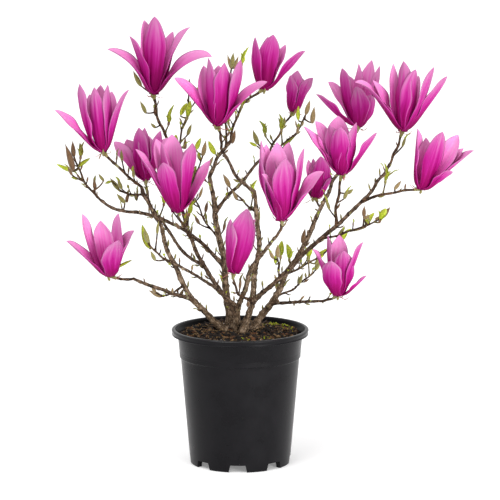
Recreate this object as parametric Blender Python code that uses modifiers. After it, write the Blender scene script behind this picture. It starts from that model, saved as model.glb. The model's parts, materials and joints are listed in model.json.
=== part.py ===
"""A magnolia in a round nursery pot: the pot, its soil, five stems, their boughs, and the
sprays of blooms and buds that the boughs carry. Metres, +Z up, with the origin in the middle
of the pot's underside and the front of the plant towards -Y."""

import math
import random

import bmesh
import bpy
import numpy as np
from mathutils import Matrix, Vector

MM = 0.001
GAP = 0.3 * MM

# The pot, in metres
POT_HEIGHT = 0.199
RIM_RADIUS = 0.100
RIM_INNER_RADIUS = 0.0935
RIM_DEPTH = 0.009
BAND_TOP_RADIUS = 0.091
BAND_BOTTOM_RADIUS = 0.0884
BAND_BOTTOM_HEIGHT = 0.158
WAIST_RADIUS = 0.0863
BASE_RADIUS = 0.0728
WALL = 0.002
FLOOR = 0.003
LIP_THICKENING = 0.0006
LIP_EASE = 0.002
INNER_STEP_RISE = 0.004
NECK_FILLET = 0.005
NECK_FILLET_IN = 0.001
BAND_EDGE = 0.0012
BAND_EDGE_IN = 0.0008
STEP_DROP = 0.0022
FOOT_HEIGHT = 0.0106
FOOT_INNER_RADIUS = 0.065
FOOT_EDGE = 0.0015
FOOT_EDGE_IN = 0.0008
PAD_RADIUS = 0.012
NOTCH_COUNT = 8
NOTCH_BOTTOM_WIDTH = 0.029
NOTCH_TOP_WIDTH = 0.022
NOTCH_TURN = math.radians(-2.5)
NOTCH_OVERSHOOT = 0.005
POT_STEPS = 36

# The soil, in metres
SOIL_LEVEL = 0.195
SOIL_FLAT_RADIUS = 0.048
SOIL_EDGE_DROP = 0.006
SOIL_SHOULDER = 0.012
SOIL_SHOULDER_RISE = 0.0015
SOIL_GAP = 2.0 * GAP

# The stems: name, foot on the soil, tip, how far the middle bows off the straight line,
# thickness at the foot and at the tip. Everything in millimetres.
STEMS = (
    ("stem_left", (-23, 4), (-113, -50, 359), (-13, -7, -9), 9.5, 5.2),
    ("stem_back", (-13, 20), (-45, 80, 409), (2, -6, 0), 12.5, 5.8),
    ("stem_front", (-5, -3), (52, -130, 357), (-13, 18, 3), 9.0, 4.2),
    ("stem_middle", (4, -17), (21, 20, 397), (12, -2, 0), 10.0, 5.0),
    ("stem_right", (17, 6), (123, 58, 377), (-2, -10, -14), 10.5, 5.4),
)

# The boughs: name, limb they leave, how far along it, tip, bow, thickness at foot and tip.
# One that leaves at 1.0 runs on from the limb's cut tip.
BOUGHS = (
    ("bough_left_low", "stem_left", 0.36, (-152, -72, 285), (0, 0, -2), 6.0, 4.2),
    ("bough_left_rise", "stem_left", 1.0, (-141, -42, 413), (-3, 0, 2), 5.4, 4.6),
    ("bough_left_cross", "stem_back", 0.41, (-160, -28, 375), (0, 6, 19), 5.4, 4.4),
    ("bough_left_out", "bough_left_cross", 1.0, (-200, -34, 393), (-2, 0, -3), 4.4, 3.8),
    ("bough_left_top", "stem_front", 0.15, (-105, 48, 467), (-22, -8, 0), 7.0, 4.4),
    ("bough_left_back", "bough_left_top", 0.29, (-112, 45, 347), (0, 4, -12), 5.0, 4.0),
    ("bough_front_left", "stem_front", 0.22, (-97, -86, 312), (-2, 0, 6), 5.0, 3.6),
    ("bough_back_top", "stem_back", 1.0, (-14, 98, 461), (-4, 2, 0), 5.8, 4.4),
    ("bough_back_right", "stem_back", 0.77, (44, 130, 442), (0, 4, 2), 5.0, 4.0),
    ("bough_middle_top", "stem_middle", 1.0, (-27, -18, 466), (0, 0, -10), 5.4, 4.2),
    ("bough_right_front", "stem_middle", 0.22, (182, -46, 400), (-2, -4, -2), 7.4, 4.8),
    ("bough_right_high", "bough_right_front", 1.0, (217, -9, 443), (2, -2, 2), 4.6, 4.0),
    ("bough_right_low", "stem_right", 0.27, (112, -68, 252), (0, 0, 0), 5.0, 3.8),
    ("bough_right_back", "stem_right", 1.0, (158, 98, 437), (-2, 0, -2), 5.4, 4.2),
)

# The sprays: name, limb they leave, how far along it, tip, bow, thickness at foot and tip.
SPRAYS = (
    ("spray_bloom_01", "bough_left_top", 1.0, (-126, 62, 534), (-4, 2, 0), 4.0, 3.6),
    ("spray_bloom_02", "bough_left_rise", 1.0, (-195, -60, 466), (0, 0, -2), 4.2, 3.4),
    ("spray_bloom_03", "bough_left_back", 1.0, (-137, 15, 414), (-6, 6, -4), 3.6, 3.0),
    ("spray_bloom_04", "bough_left_top", 0.45, (-88, -90, 384), (-4, 0, 4), 4.0, 3.6),
    ("spray_bloom_05", "bough_left_low", 1.0, (-184, -88, 291), (0, 0, -2), 3.8, 3.2),
    ("spray_bloom_06", "bough_middle_top", 1.0, (-32, -25, 499), (2, 0, 0), 3.8, 3.6),
    ("spray_bloom_07", "bough_back_top", 1.0, (35, 130, 532), (-10, 0, 10), 4.0, 3.2),
    ("spray_bloom_08", "bough_back_right", 1.0, (79, 190, 491), (-2, 0, 0), 3.6, 2.8),
    ("spray_bloom_09", "bough_right_back", 1.0, (175, 120, 478), (0, 0, 0), 3.8, 3.4),
    ("spray_bloom_10", "bough_right_high", 1.0, (235, 6, 487), (0, 0, 0), 3.8, 3.4),
    ("spray_bloom_11", "bough_right_front", 0.96, (257, -72, 414), (0, 0, 4), 4.2, 3.2),
    ("spray_bloom_12", "bough_right_front", 0.74, (146, -50, 432), (-3, -2, 0), 4.0, 3.4),
    ("spray_bloom_13", "stem_right", 0.95, (110, 98, 375), (4, 0, -4), 3.4, 2.8),
    ("spray_bloom_14", "stem_front", 1.0, (59, -150, 382), (2, 0, 0), 4.2, 3.8),
    ("spray_bloom_15", "stem_middle", 0.24, (-9, -82, 295), (-8, -14, -6), 3.6, 3.0),
    ("spray_bloom_16", "bough_right_low", 1.0, (139, -94, 264), (0, 0, -2), 3.6, 3.2),
    ("spray_buds_01", "bough_left_out", 1.0, (-239, -18, 455), (-4, 0, -4), 3.6, 2.4),
    ("spray_buds_02", "bough_front_left", 1.0, (-130, -112, 346), (-2, 0, -4), 3.4, 2.2),
    ("spray_buds_03", "bough_left_top", 0.50, (-54, 40, 448), (-6, 2, 0), 3.2, 2.2),
    ("spray_buds_04", "bough_back_right", 0.93, (97, 98, 501), (6, -4, -6), 3.0, 2.2),
    ("spray_buds_05", "bough_right_front", 0.62, (202, -98, 378), (0, 0, -4), 3.4, 2.2),
    ("spray_buds_06", "bough_right_front", 0.24, (54, -50, 313), (0, 0, 2), 2.8, 2.2),
    ("spray_buds_07", "stem_right", 0.34, (112, 92, 269), (0, 0, -6), 3.2, 2.2),
    ("spray_buds_08", "stem_right", 0.52, (146, 112, 313), (0, 0, -8), 3.2, 2.2),
    ("spray_buds_09", "stem_middle", 0.86, (-16, 52, 400), (0, 0, -3), 3.0, 2.2),
    ("spray_buds_10", "stem_left", 0.50, (-116, -8, 247), (0, 0, -3), 2.8, 2.2),
    ("spray_buds_11", "bough_left_top", 0.86, (-75, 60, 536), (6, 0, 0), 3.2, 2.2),
    ("spray_buds_12", "stem_back", 0.58, (-72, 128, 378), (0, 0, -6), 3.4, 2.2),
    ("spray_buds_13", "stem_back", 0.42, (24, 118, 334), (0, 0, -6), 3.2, 2.2),
    ("spray_buds_14", "bough_left_rise", 0.80, (-176, -8, 405), (0, 0, -4), 3.0, 2.2),
    ("spray_buds_15", "bough_back_top", 0.82, (-12, 72, 574), (-2, 4, 0), 3.0, 2.2),
)

# The blooms: spray, lean to the right and to the front in degrees, height of the closed cup in
# millimetres, and the petals. For each petal come where its tip stands from the bloom's foot, in
# millimetres to the right, to the back and up, then the curl in degrees, the width in
# millimetres, and how far its inner side is turned to the front, in degrees.
BLOOMS = (
    ("spray_bloom_01", 2, 0, 34, (
        (-67, -5, 67, 50, 32, 35), (-34, -22, 88, 12, 30, 20), (-14, 10, 108, -14, 32, 25),
        (2, -9, 115, -12, 38, 0), (28, 24, 90, 0, 32, 10), (53, 6, 98, 28, 28, 30),
        (85, -8, 56, 62, 32, 40), (6, 38, 84, 10, 32, 0), (-16, 30, 78, 5, 28, 0))),
    ("spray_bloom_02", -5, 3, 36, (
        (-67, -12, 62, 12, 28, 25), (-32, -8, 99, -28, 32, -25), (-11, -14, 95, -10, 26, -10),
        (-3, 8, 96, -8, 30, 0), (8, -8, 98, -12, 30, -10), (38, -10, 91, 18, 30, -10),
        (-20, 26, 80, 0, 30, 10), (12, 28, 84, 5, 30, 0))),
    ("spray_bloom_03", -3, 0, 28, (
        (-46, 8, 56, 8, 32, 30), (-28, 20, 58, 0, 32, 25), (-9, -10, 79, -12, 28, -10),
        (-1, -2, 78, -12, 30, 0), (22, -6, 74, -5, 28, -25), (33, 18, 60, 5, 24, 25),
        (4, 26, 62, 0, 30, 0))),
    ("spray_bloom_04", -4, 4, 40, (
        (-59, -16, 93, 10, 32, 25), (-31, 12, 104, -6, 32, 25), (-22, -4, 100, -12, 30, -25),
        (-9, 28, 108, -4, 42, 0), (21, -10, 101, -18, 42, -25), (-19, -44, 78, -12, 32, 0),
        (46, 8, 74, -4, 28, 30), (14, 30, 88, 5, 32, 0))),
    ("spray_bloom_05", -7, 4, 28, (
        (-62, -14, 54, 4, 34, 25), (-40, 4, 90, -28, 24, 25), (-14, 2, 81, -22, 32, 25),
        (11, 16, 89, -8, 34, 0), (34, 4, 66, 16, 32, 20), (12, -38, 59, -20, 40, 0),
        (-10, 30, 64, 0, 30, 0))),
    ("spray_bloom_06", 1, 2, 36, (
        (-62, 6, 69, 30, 28, 35), (-20, 14, 86, -25, 32, 25), (-13, -8, 99, -14, 34, -25),
        (1, 24, 85, 0, 32, 0), (10, -12, 93, -8, 40, -10), (33, -2, 96, -26, 40, -25),
        (71, -8, 65, 32, 30, 25), (20, 28, 74, 6, 30, 10))),
    ("spray_bloom_07", 8, -6, 32, (
        (-13, -8, 80, -24, 32, 20), (6, 14, 78, -4, 30, 0), (14, -2, 83, -6, 34, -25),
        (32, 10, 67, -4, 28, 25), (61, -5, 59, 8, 24, -25), (4, 26, 62, 0, 28, 0))),
    ("spray_bloom_08", 9, -8, 24, (
        (-4, -4, 57, -6, 24, -10), (7, 0, 64, -10, 28, -25), (30, -2, 53, 14, 24, -25),
        (4, 12, 52, 0, 24, 0), (16, 10, 50, 4, 22, 25))),
    ("spray_bloom_09", 2, -2, 38, (
        (-63, -12, 51, -6, 28, -25), (-45, 6, 67, 8, 32, 30), (-25, -6, 89, -14, 34, -25),
        (0, 6, 94, -6, 28, 0), (20, 20, 98, -4, 32, 10), (31, 4, 91, -2, 24, 25),
        (-4, -30, 64, -14, 32, 0), (18, -12, 50, -5, 30, -25), (-14, 26, 74, 0, 30, 0))),
    ("spray_bloom_10", 4, 0, 38, (
        (-70, -22, 74, 28, 34, 25), (-44, -6, 75, 10, 32, 30), (-14, 6, 98, -22, 30, 25),
        (0, -6, 103, -10, 34, 0), (17, -16, 92, -6, 34, -10), (44, -4, 94, -6, 34, -25),
        (63, -4, 81, -8, 30, -25), (2, 30, 84, 4, 32, 0), (24, 26, 78, 4, 30, 10))),
    ("spray_bloom_11", 16, 2, 36, (
        (-5, -2, 88, -12, 32, 20), (30, -14, 85, -12, 32, -20), (54, 14, 77, -2, 34, 25),
        (61, 4, 59, 4, 22, 25), (75, -4, 57, 14, 30, 20), (45, -16, 28, 8, 22, -25),
        (8, 16, 73, 0, 30, 0), (26, 30, 66, 6, 30, 10))),
    ("spray_bloom_12", 0, 3, 28, (
        (-55, 4, 69, 6, 24, 30), (-38, 18, 75, 2, 34, 25), (-19, -8, 73, -10, 34, -25),
        (-5, 24, 82, -4, 40, 0), (20, -4, 76, -16, 38, -25), (49, -6, 62, -4, 28, -25),
        (-4, -22, 72, -10, 34, 0), (18, 26, 62, 4, 30, 0))),
    ("spray_bloom_13", 7, -4, 20, (
        (-9, 6, 57, -6, 22, 25), (-2, 14, 58, -2, 20, 0), (9, -6, 64, -16, 32, -25),
        (14, 4, 56, -8, 24, 25), (22, 8, 49, 0, 24, 25), (27, -6, 32, 4, 18, -25))),
    ("spray_bloom_14", -2, 5, 42, (
        (-29, -2, 114, -28, 32, -25), (-22, 8, 107, -12, 30, 25), (-7, 8, 110, -6, 38, 10),
        (10, 22, 108, -4, 38, 0), (31, -2, 103, -18, 38, -25), (-28, -22, 69, 24, 34, 50),
        (58, -12, 71, 18, 32, 30), (4, -22, 92, -10, 42, 0), (-10, 32, 84, 4, 32, 0))),
    ("spray_bloom_15", 11, 4, 66, (
        (-4, -10, 80, -20, 38, -5), (20, -15, 95, -12, 42, 0), (18, 8, 92, -8, 36, 10),
        (31, 1, 78, -4, 28, 0), (6, 18, 77, -10, 36, 0))),
    ("spray_bloom_16", 5, 4, 37, (
        (-36, -6, 69, 10, 24, 25), (-14, 0, 88, -16, 28, -25), (3, 16, 86, -8, 34, 0),
        (-10, -34, 57, -12, 34, 0), (36, 0, 78, 6, 38, -25), (8, -16, 69, -6, 34, 0),
        (41, -6, 31, 4, 18, -20), (9, 27, 67, 4, 30, 0))),
)

# Limbs thin faster near their foot, and a stem flares over its lowest stretch. Along a limb run
# small kinks: so many waves of one direction, and somewhat more of the other.
TAPER = 0.75
FLARE = 0.45
FLARE_HEIGHT = 12.0 * MM
KINK = 2.2 * MM
KINK_SHARE = 0.02
STEM_WAVES = 2.2
BOUGH_WAVES = 1.6
CROSS_WAVES = 1.3
ROOT_GAP = 1.2 * GAP

# How finely the limbs are drawn
STEM_STATIONS = 9
STEM_SIDES = 8
BOUGH_STATIONS = 6
BOUGH_SIDES = 6
SPRAY_STATIONS = 5
SPRAY_SIDES = 5

# Petals: they leave the foot flat, turn up as a cup, and are cupped across through so many radians
PETAL_THICKNESS = 2.2 * MM
PETAL_CUP = 0.6
PETAL_STATIONS = (0.0, 0.11, 0.45, 0.8)
STRAIGHT_PETAL_STATIONS = (0.0, 0.13, 0.62)
STRAIGHT_CURL = math.radians(22.0)
PETAL_ROOT_OFFSET = 1.8 * MM
PETAL_FLARE = 8.0 * MM
PETAL_FLARE_SHARE = 0.06
PETAL_ROOT_WIDTH = 0.05
PETAL_TIP_POWER = 0.7
PETAL_WIDEST = 0.36
SMALLEST_CURL = 0.01

# The throat, where the petals' roots close into one cup
THROAT_SIDES = 7
THROAT_SINK = 2.0 * MM
THROAT_FOOT_RADIUS = 3.0 * MM
THROAT_WAIST = 7.0 * MM
THROAT_WAIST_RADIUS = 10.0 * MM
THROAT_MARGIN = 1.5 * MM
THROAT_CLOSED_ANGLE = 20.0

# Side shoots, and the buds and leaves on them. A shoot heads outwards, onwards and up in these
# shares, and its bud or leaf turns up from it.
SHOOT_OUT = 0.75
SHOOT_ON = 0.5
SHOOT_UP = 0.35
BUD_ON = 0.6
BUD_UP = 0.8
END_BUD_UP = 0.6
SHOOT_HINT = (0.3, 0.2, 0.9)
NODE_SPACING = 22.0 * MM
BUD_LENGTH = 19.0 * MM
BUD_THICKNESS = 6.6 * MM
LEAF_LENGTH = 27.0 * MM
LEAF_WIDTH = 11.0 * MM
LEAF_THICKNESS = 1.0 * MM
LEAF_CHANCE = 0.3
END_BUD_SCALE = 1.2
SHOOT_THICKNESS = 2.2 * MM
SHOOT_TAPER = 0.83
SHOOT_SHORTEST = 9.0 * MM
SHOOT_LONGEST = 26.0 * MM
SHOOT_TURN = math.radians(137.5)
FIRST_SHOOT = 12.0 * MM
LAST_SHOOT_BELOW_BLOOM = 16.0 * MM
LAST_SHOOT_BELOW_BUD = 6.0 * MM
CLEARANCE = 2.5 * MM
SUNK = 2.0 * MM


# Scene and materials

def clear_scene():
    for thing in list(bpy.data.objects):
        bpy.data.objects.remove(thing)


def new_collection(name):
    collection = bpy.data.collections.new(name)
    bpy.context.scene.collection.children.link(collection)
    return collection


def material(name, colour, roughness, metallic=0.0):
    """A plain principled material. The colour is linear red, green and blue."""
    made = bpy.data.materials.new(name)
    made.use_nodes = True
    shader = made.node_tree.nodes["Principled BSDF"]
    shader.inputs["Base Color"].default_value = (*colour, 1.0)
    shader.inputs["Roughness"].default_value = roughness
    shader.inputs["Metallic"].default_value = metallic
    made.diffuse_color = (*colour, 1.0)
    return made


def new_object(name, mesh, collection):
    made = bpy.data.objects.new(name, mesh)
    collection.objects.link(made)
    return made


def set_finish(made, finish):
    made.data.materials.clear()
    made.data.materials.append(finish)


def baked_mesh(source):
    """The mesh that an object has once its modifiers are evaluated."""
    bpy.context.view_layer.update()
    shown = source.evaluated_get(bpy.context.evaluated_depsgraph_get())
    return bpy.data.meshes.new_from_object(shown)


# Turned pieces

def turned(name, profile, steps, collection):
    """Turn a profile of (radius, height) about Z. It starts and ends on the axis."""
    mesh = bpy.data.meshes.new(name)
    points = [(radius, 0.0, height) for radius, height in profile]
    edges = [(index, index + 1) for index in range(len(points) - 1)]
    mesh.from_pydata(points, edges, [])
    made = new_object(name, mesh, collection)
    screw = made.modifiers.new("turn", "SCREW")
    screw.steps = steps
    screw.render_steps = steps
    screw.use_merge_vertices = True
    screw.merge_threshold = 0.01 * MM
    return made


def inner_radius(height):
    """The inside of the pot's wall, which tapers in two stretches with a step between them."""
    step = BAND_BOTTOM_HEIGHT - STEP_DROP
    if height <= step:
        share = height / step
        return (BASE_RADIUS - WALL) * (1.0 - share) + (WAIST_RADIUS - WALL) * share
    low = BAND_BOTTOM_RADIUS - WALL - LIP_THICKENING
    top = BAND_TOP_RADIUS - WALL - LIP_THICKENING
    share = (height - step) / (POT_HEIGHT - step)
    return low * (1.0 - share) + top * share


def pot_profile():
    """Floor, inside of the wall, rolled rim, band, step, taper, foot ring and middle pad."""
    floor = FOOT_HEIGHT + FLOOR
    roll = RIM_DEPTH / 2.0
    crown = [(RIM_RADIUS - roll + roll * math.sin(a), POT_HEIGHT - roll + roll * math.cos(a))
             for a in (0.0, math.pi / 4, math.pi / 2, 3 * math.pi / 4, math.pi)]
    neck = POT_HEIGHT - RIM_DEPTH
    step = BAND_BOTTOM_HEIGHT - STEP_DROP
    return [(0.0, floor),
            (inner_radius(floor), floor),
            (inner_radius(step), step),
            (inner_radius(step + INNER_STEP_RISE), step + INNER_STEP_RISE),
            (inner_radius(neck), neck),
            (RIM_INNER_RADIUS, POT_HEIGHT - LIP_EASE),
            (RIM_INNER_RADIUS + LIP_EASE, POT_HEIGHT),
            *crown,
            (BAND_TOP_RADIUS + NECK_FILLET_IN, neck - NECK_FILLET_IN),
            (BAND_TOP_RADIUS, neck - NECK_FILLET),
            (BAND_BOTTOM_RADIUS, BAND_BOTTOM_HEIGHT + BAND_EDGE),
            (BAND_BOTTOM_RADIUS - BAND_EDGE_IN, BAND_BOTTOM_HEIGHT),
            (WAIST_RADIUS, BAND_BOTTOM_HEIGHT - STEP_DROP),
            (BASE_RADIUS + FOOT_EDGE_IN, FOOT_EDGE),
            (BASE_RADIUS - FOOT_EDGE_IN, 0.0),
            (FOOT_INNER_RADIUS, 0.0),
            (FOOT_INNER_RADIUS, FOOT_HEIGHT),
            (PAD_RADIUS, FOOT_HEIGHT),
            (PAD_RADIUS, 0.0),
            (0.0, 0.0)]


def notch_cutter(index, collection):
    """A trapezoid prism, wider below, that opens a drain notch in the foot ring."""
    shape = bmesh.new()
    bmesh.ops.create_cube(shape, size=1.0)
    reach = BASE_RADIUS - FOOT_INNER_RADIUS + 2.0 * NOTCH_OVERSHOOT
    for vertex in shape.verts:
        top = vertex.co.z > 0.0
        width = NOTCH_TOP_WIDTH if top else NOTCH_BOTTOM_WIDTH
        vertex.co.y *= width
        vertex.co.x = vertex.co.x * reach + (BASE_RADIUS + FOOT_INNER_RADIUS) / 2.0
        vertex.co.z = FOOT_HEIGHT if top else -NOTCH_OVERSHOOT
    turn = NOTCH_TURN - math.pi / 2.0 + 2.0 * math.pi * index / NOTCH_COUNT
    bmesh.ops.rotate(shape, cent=(0, 0, 0), matrix=Matrix.Rotation(turn, 3, "Z"), verts=shape.verts)
    mesh = bpy.data.meshes.new("notch_cutter")
    shape.to_mesh(mesh)
    shape.free()
    cutter = new_object(f"notch_cutter_{index + 1}", mesh, collection)
    cutter.hide_render = True
    cutter.display_type = "WIRE"
    return cutter


def build_pot(parts, cutters, finish):
    pot = turned("pot", pot_profile(), POT_STEPS, parts)
    set_finish(pot, finish)
    for index in range(NOTCH_COUNT):
        cut = pot.modifiers.new(f"notch_{index + 1}", "BOOLEAN")
        cut.operation = "DIFFERENCE"
        cut.object = notch_cutter(index, cutters)


def build_soil(parts, finish):
    """The soil fills the pot, with a low mound in the middle that the stems stand on."""
    floor = FOOT_HEIGHT + FLOOR + GAP
    edge = SOIL_LEVEL - SOIL_EDGE_DROP
    step = BAND_BOTTOM_HEIGHT - STEP_DROP
    above = step + INNER_STEP_RISE
    profile = [(0.0, SOIL_LEVEL),
               (SOIL_FLAT_RADIUS, SOIL_LEVEL),
               (inner_radius(edge) - SOIL_GAP - SOIL_SHOULDER, edge + SOIL_SHOULDER_RISE),
               (inner_radius(edge) - SOIL_GAP, edge),
               (inner_radius(above) - SOIL_GAP, above + SOIL_GAP),
               (inner_radius(step) - SOIL_GAP, step + SOIL_GAP),
               (inner_radius(floor) - SOIL_GAP, floor),
               (0.0, floor)]
    soil = turned("soil", profile, POT_STEPS, parts)
    set_finish(soil, finish)


# Limbs

def limb_point(limb, share):
    """A limb's centre line: a straight line, its bow, and small seeded kinks."""
    start, tip, bow, phase = limb["start"], limb["tip"], limb["bow"], limb["phase"]
    place = start.lerp(tip, share) + bow * (4.0 * share * (1.0 - share))
    size = limb["kink"] * math.sin(math.pi * share)
    wave = 2.0 * math.pi * limb["waves"] * share
    across = Vector((math.sin(wave + phase), math.cos(CROSS_WAVES * wave + phase), 0.0))
    return place + across * size


def limb_radius(limb, share):
    """A limb thins towards its tip, and a stem flares where it meets the soil."""
    foot, tip = limb["radius"]
    radius = foot + (tip - foot) * share ** TAPER
    if limb["parent"] is None:
        climbed = (limb_point(limb, share) - limb["start"]).length
        radius *= 1.0 + FLARE * math.exp(-climbed / FLARE_HEIGHT)
    return radius


def limb_direction(limb, share):
    step = 0.01
    ahead = limb_point(limb, min(1.0, share + step))
    behind = limb_point(limb, max(0.0, share - step))
    return (ahead - behind).normalized()


def new_limb(name, parent, start, tip, bow, thickness, waves):
    seed = random.Random(name)
    length = (tip - start).length
    return {"name": name, "parent": parent, "start": start, "tip": tip, "bow": bow,
            "radius": (thickness[0] * MM / 2.0, thickness[1] * MM / 2.0),
            "phase": seed.uniform(0.0, 2.0 * math.pi), "kink": min(KINK, KINK_SHARE * length),
            "waves": waves, "length": length}


def layout():
    """Every limb by name, stems first, so that a limb's parent is always there before it."""
    limbs = {}
    for name, foot, tip, bow, base, end in STEMS:
        start = Vector((foot[0] * MM, foot[1] * MM, SOIL_LEVEL + GAP))
        limbs[name] = new_limb(name, None, start, Vector(tip) * MM, Vector(bow) * MM, (base, end),
                               STEM_WAVES)
    for name, parent, leaves_at, tip, bow, base, end in BOUGHS + SPRAYS:
        carrier = limbs[parent]
        start = limb_point(carrier, leaves_at)
        if leaves_at == 1.0:
            start = start + limb_direction(carrier, 1.0) * GAP
        limb = new_limb(name, carrier, start, Vector(tip) * MM, Vector(bow) * MM, (base, end),
                        BOUGH_WAVES)
        limb["runs_on"] = leaves_at == 1.0
        limbs[name] = limb
    return limbs


def ring_frame(normal, hint):
    """Two directions across a normal, turned as little as may be from the last ring's."""
    side = (hint - normal * hint.dot(normal)).normalized()
    return side, normal.cross(side)


def tube_mesh(name, places, normals, radii, sides):
    """A closed tube through rings of points, with a flat face at each end."""
    hint = Vector((1.0, 0.0, 0.0)) if abs(normals[0].x) < 0.9 else Vector((0.0, 1.0, 0.0))
    points = []
    for place, normal, radius in zip(places, normals, radii):
        side, other = ring_frame(normal, hint)
        hint = side
        for index in range(sides):
            angle = 2.0 * math.pi * index / sides
            points.append(place + (side * math.cos(angle) + other * math.sin(angle)) * radius)
    faces = []
    for ring in range(len(places) - 1):
        for index in range(sides):
            after = (index + 1) % sides
            low, high = ring * sides, (ring + 1) * sides
            faces.append((low + index, low + after, high + after, high + index))
    faces.append(tuple(reversed(range(sides))))
    faces.append(tuple(range((len(places) - 1) * sides, len(places) * sides)))
    mesh = bpy.data.meshes.new(name)
    mesh.from_pydata(points, [], faces)
    return mesh


def limb_mesh(limb, stations, sides, grow=0.0):
    """A limb's solid. A stem's first ring is level, and a limb that runs on starts square."""
    shares = [(index / (stations - 1)) for index in range(stations)]
    places = [limb_point(limb, share) for share in shares]
    normals = [limb_direction(limb, share) for share in shares]
    radii = [limb_radius(limb, share) + grow for share in shares]
    if limb["parent"] is None:
        normals[0] = Vector((0.0, 0.0, 1.0))
    elif limb["runs_on"]:
        normals[0] = limb_direction(limb["parent"], 1.0)
        radii[0] = min(radii[0], limb_radius(limb["parent"], 1.0))
    return tube_mesh(limb["name"], places, normals, radii, sides)


def largest_piece(mesh):
    """Keep the body with most faces, which drops loose scraps and fills sealed hollows."""
    shape = bmesh.new()
    shape.from_mesh(mesh)
    waiting = set(shape.faces)
    bodies = []
    while waiting:
        front = [waiting.pop()]
        body = list(front)
        while front:
            for edge in front.pop().edges:
                for face in edge.link_faces:
                    if face in waiting:
                        waiting.discard(face)
                        body.append(face)
                        front.append(face)
        bodies.append(body)
    bodies.sort(key=len)
    for body in bodies[:-1]:
        bmesh.ops.delete(shape, geom=body, context="FACES")
    shape.to_mesh(mesh)
    shape.free()


def wood_mesh(limb, grow=0.0):
    """A stem's or a bough's solid. Grown a little, it cuts the roots of what leaves it."""
    if limb["parent"] is None:
        return limb_mesh(limb, STEM_STATIONS, STEM_SIDES, grow)
    return limb_mesh(limb, BOUGH_STATIONS, BOUGH_SIDES, grow)


def cut_clear(made, limb, cutters):
    """Cut a limb's root so that it stops 0.3 mm off the limb that it leaves."""
    if limb["parent"] is None or limb["runs_on"]:
        return
    mesh = wood_mesh(limb["parent"], ROOT_GAP)
    cutter = new_object(made.name + "_cutter", mesh, cutters)
    cut = made.modifiers.new("root", "BOOLEAN")
    cut.operation = "DIFFERENCE"
    cut.object = cutter
    mesh = baked_mesh(made)
    made.modifiers.clear()
    largest_piece(mesh)
    made.data = mesh
    bpy.data.objects.remove(cutter)


# Blooms

def bloom_axes(lean_right, lean_front):
    """A bloom's own directions: across, back and up its axis."""
    right = math.radians(lean_right)
    front = math.radians(lean_front)
    up = Vector((math.sin(right), -math.sin(front), math.cos(right) * math.cos(front))).normalized()
    across = (Vector((1.0, 0.0, 0.0)) - up * up.x).normalized()
    return across, up.cross(across), up


def petal_plan(row):
    """Each petal's direction, opening, curl, length, width and turn on its rib."""
    up = bloom_axes(row[1], row[2])[2]
    plan = []
    for right, back, above, curl, width, roll in row[4]:
        tip = Vector((right, back, above)) * MM
        rise = tip.dot(up)
        sideways = tip - up * rise
        reach = sideways.length - PETAL_ROOT_OFFSET - PETAL_FLARE
        curl = math.radians(curl) or SMALLEST_CURL
        plan.append({"out": sideways.normalized(),
                     "opening": math.atan2(reach, rise),
                     "curl": curl,
                     "length": math.hypot(reach, rise) * curl / 2.0 / math.sin(curl / 2.0),
                     "width": width * MM,
                     "roll": math.radians(roll) * (1.0 if sideways.x < 0.0 else -1.0)})
    return plan


def petal_point(base, axes, petal, share):
    """The petal's rib, which curls evenly from root to tip, its inward direction and its side."""
    up = axes[2]
    out = petal["out"]
    first = petal["opening"] - petal["curl"] / 2.0
    now = first + petal["curl"] * share
    rise = (math.sin(now) - math.sin(first)) / petal["curl"] * petal["length"]
    reach = (math.cos(first) - math.cos(now)) / petal["curl"] * petal["length"]
    root = PETAL_ROOT_OFFSET + PETAL_FLARE * (1.0 - math.exp(-share / PETAL_FLARE_SHARE))
    inward = up * math.sin(now) - out * math.cos(now)
    side = up.cross(out)
    roll = petal["roll"] * share
    place = base + up * rise + out * (reach + root)
    turned_in = inward * math.cos(roll) + side * math.sin(roll)
    turned_side = side * math.cos(roll) - inward * math.sin(roll)
    return place, turned_in, turned_side


def petal_width(petal, share):
    """Narrow at the root, widest past the middle, pointed at the tip."""
    rise = share + PETAL_ROOT_WIDTH
    return petal["width"] * rise * max(0.0, 1.0 - share) ** PETAL_TIP_POWER / PETAL_WIDEST


def petal_mesh(base, axes, petal):
    """A petal as a thin boat: two edges, an inner rib and an outer rib, closed at both ends.
    Both sides have the same triangles, so that they keep their distance where the petal bends."""
    points = []
    shares = STRAIGHT_PETAL_STATIONS if abs(petal["curl"]) < STRAIGHT_CURL else PETAL_STATIONS
    for share in shares:
        place, inward, side = petal_point(base, axes, petal, share)
        half = petal_width(petal, share) / 2.0
        lift = inward * half * (1.0 - math.cos(PETAL_CUP)) / PETAL_CUP
        spread = side * half * math.sin(PETAL_CUP) / PETAL_CUP
        rib = inward * PETAL_THICKNESS / 2.0
        points += [place + lift - spread, place + rib, place + lift + spread, place - rib]
    tip = petal_point(base, axes, petal, 1.0)[0]
    faces = [(3, 2, 1, 0)]
    for ring in range(len(shares) - 1):
        low, high = 4 * ring, 4 * (ring + 1)
        for edge, rib in ((0, 1), (2, 1), (2, 3), (0, 3)):
            faces.append((low + edge, low + rib, high + edge))
            faces.append((low + rib, high + rib, high + edge))
    last = 4 * (len(shares) - 1)
    points.append(tip)
    faces += [(last + index, last + (index + 1) % 4, last + 4) for index in range(4)]
    mesh = bpy.data.meshes.new("petal")
    mesh.from_pydata(points, [], faces)
    face_outwards(mesh)
    return mesh


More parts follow.
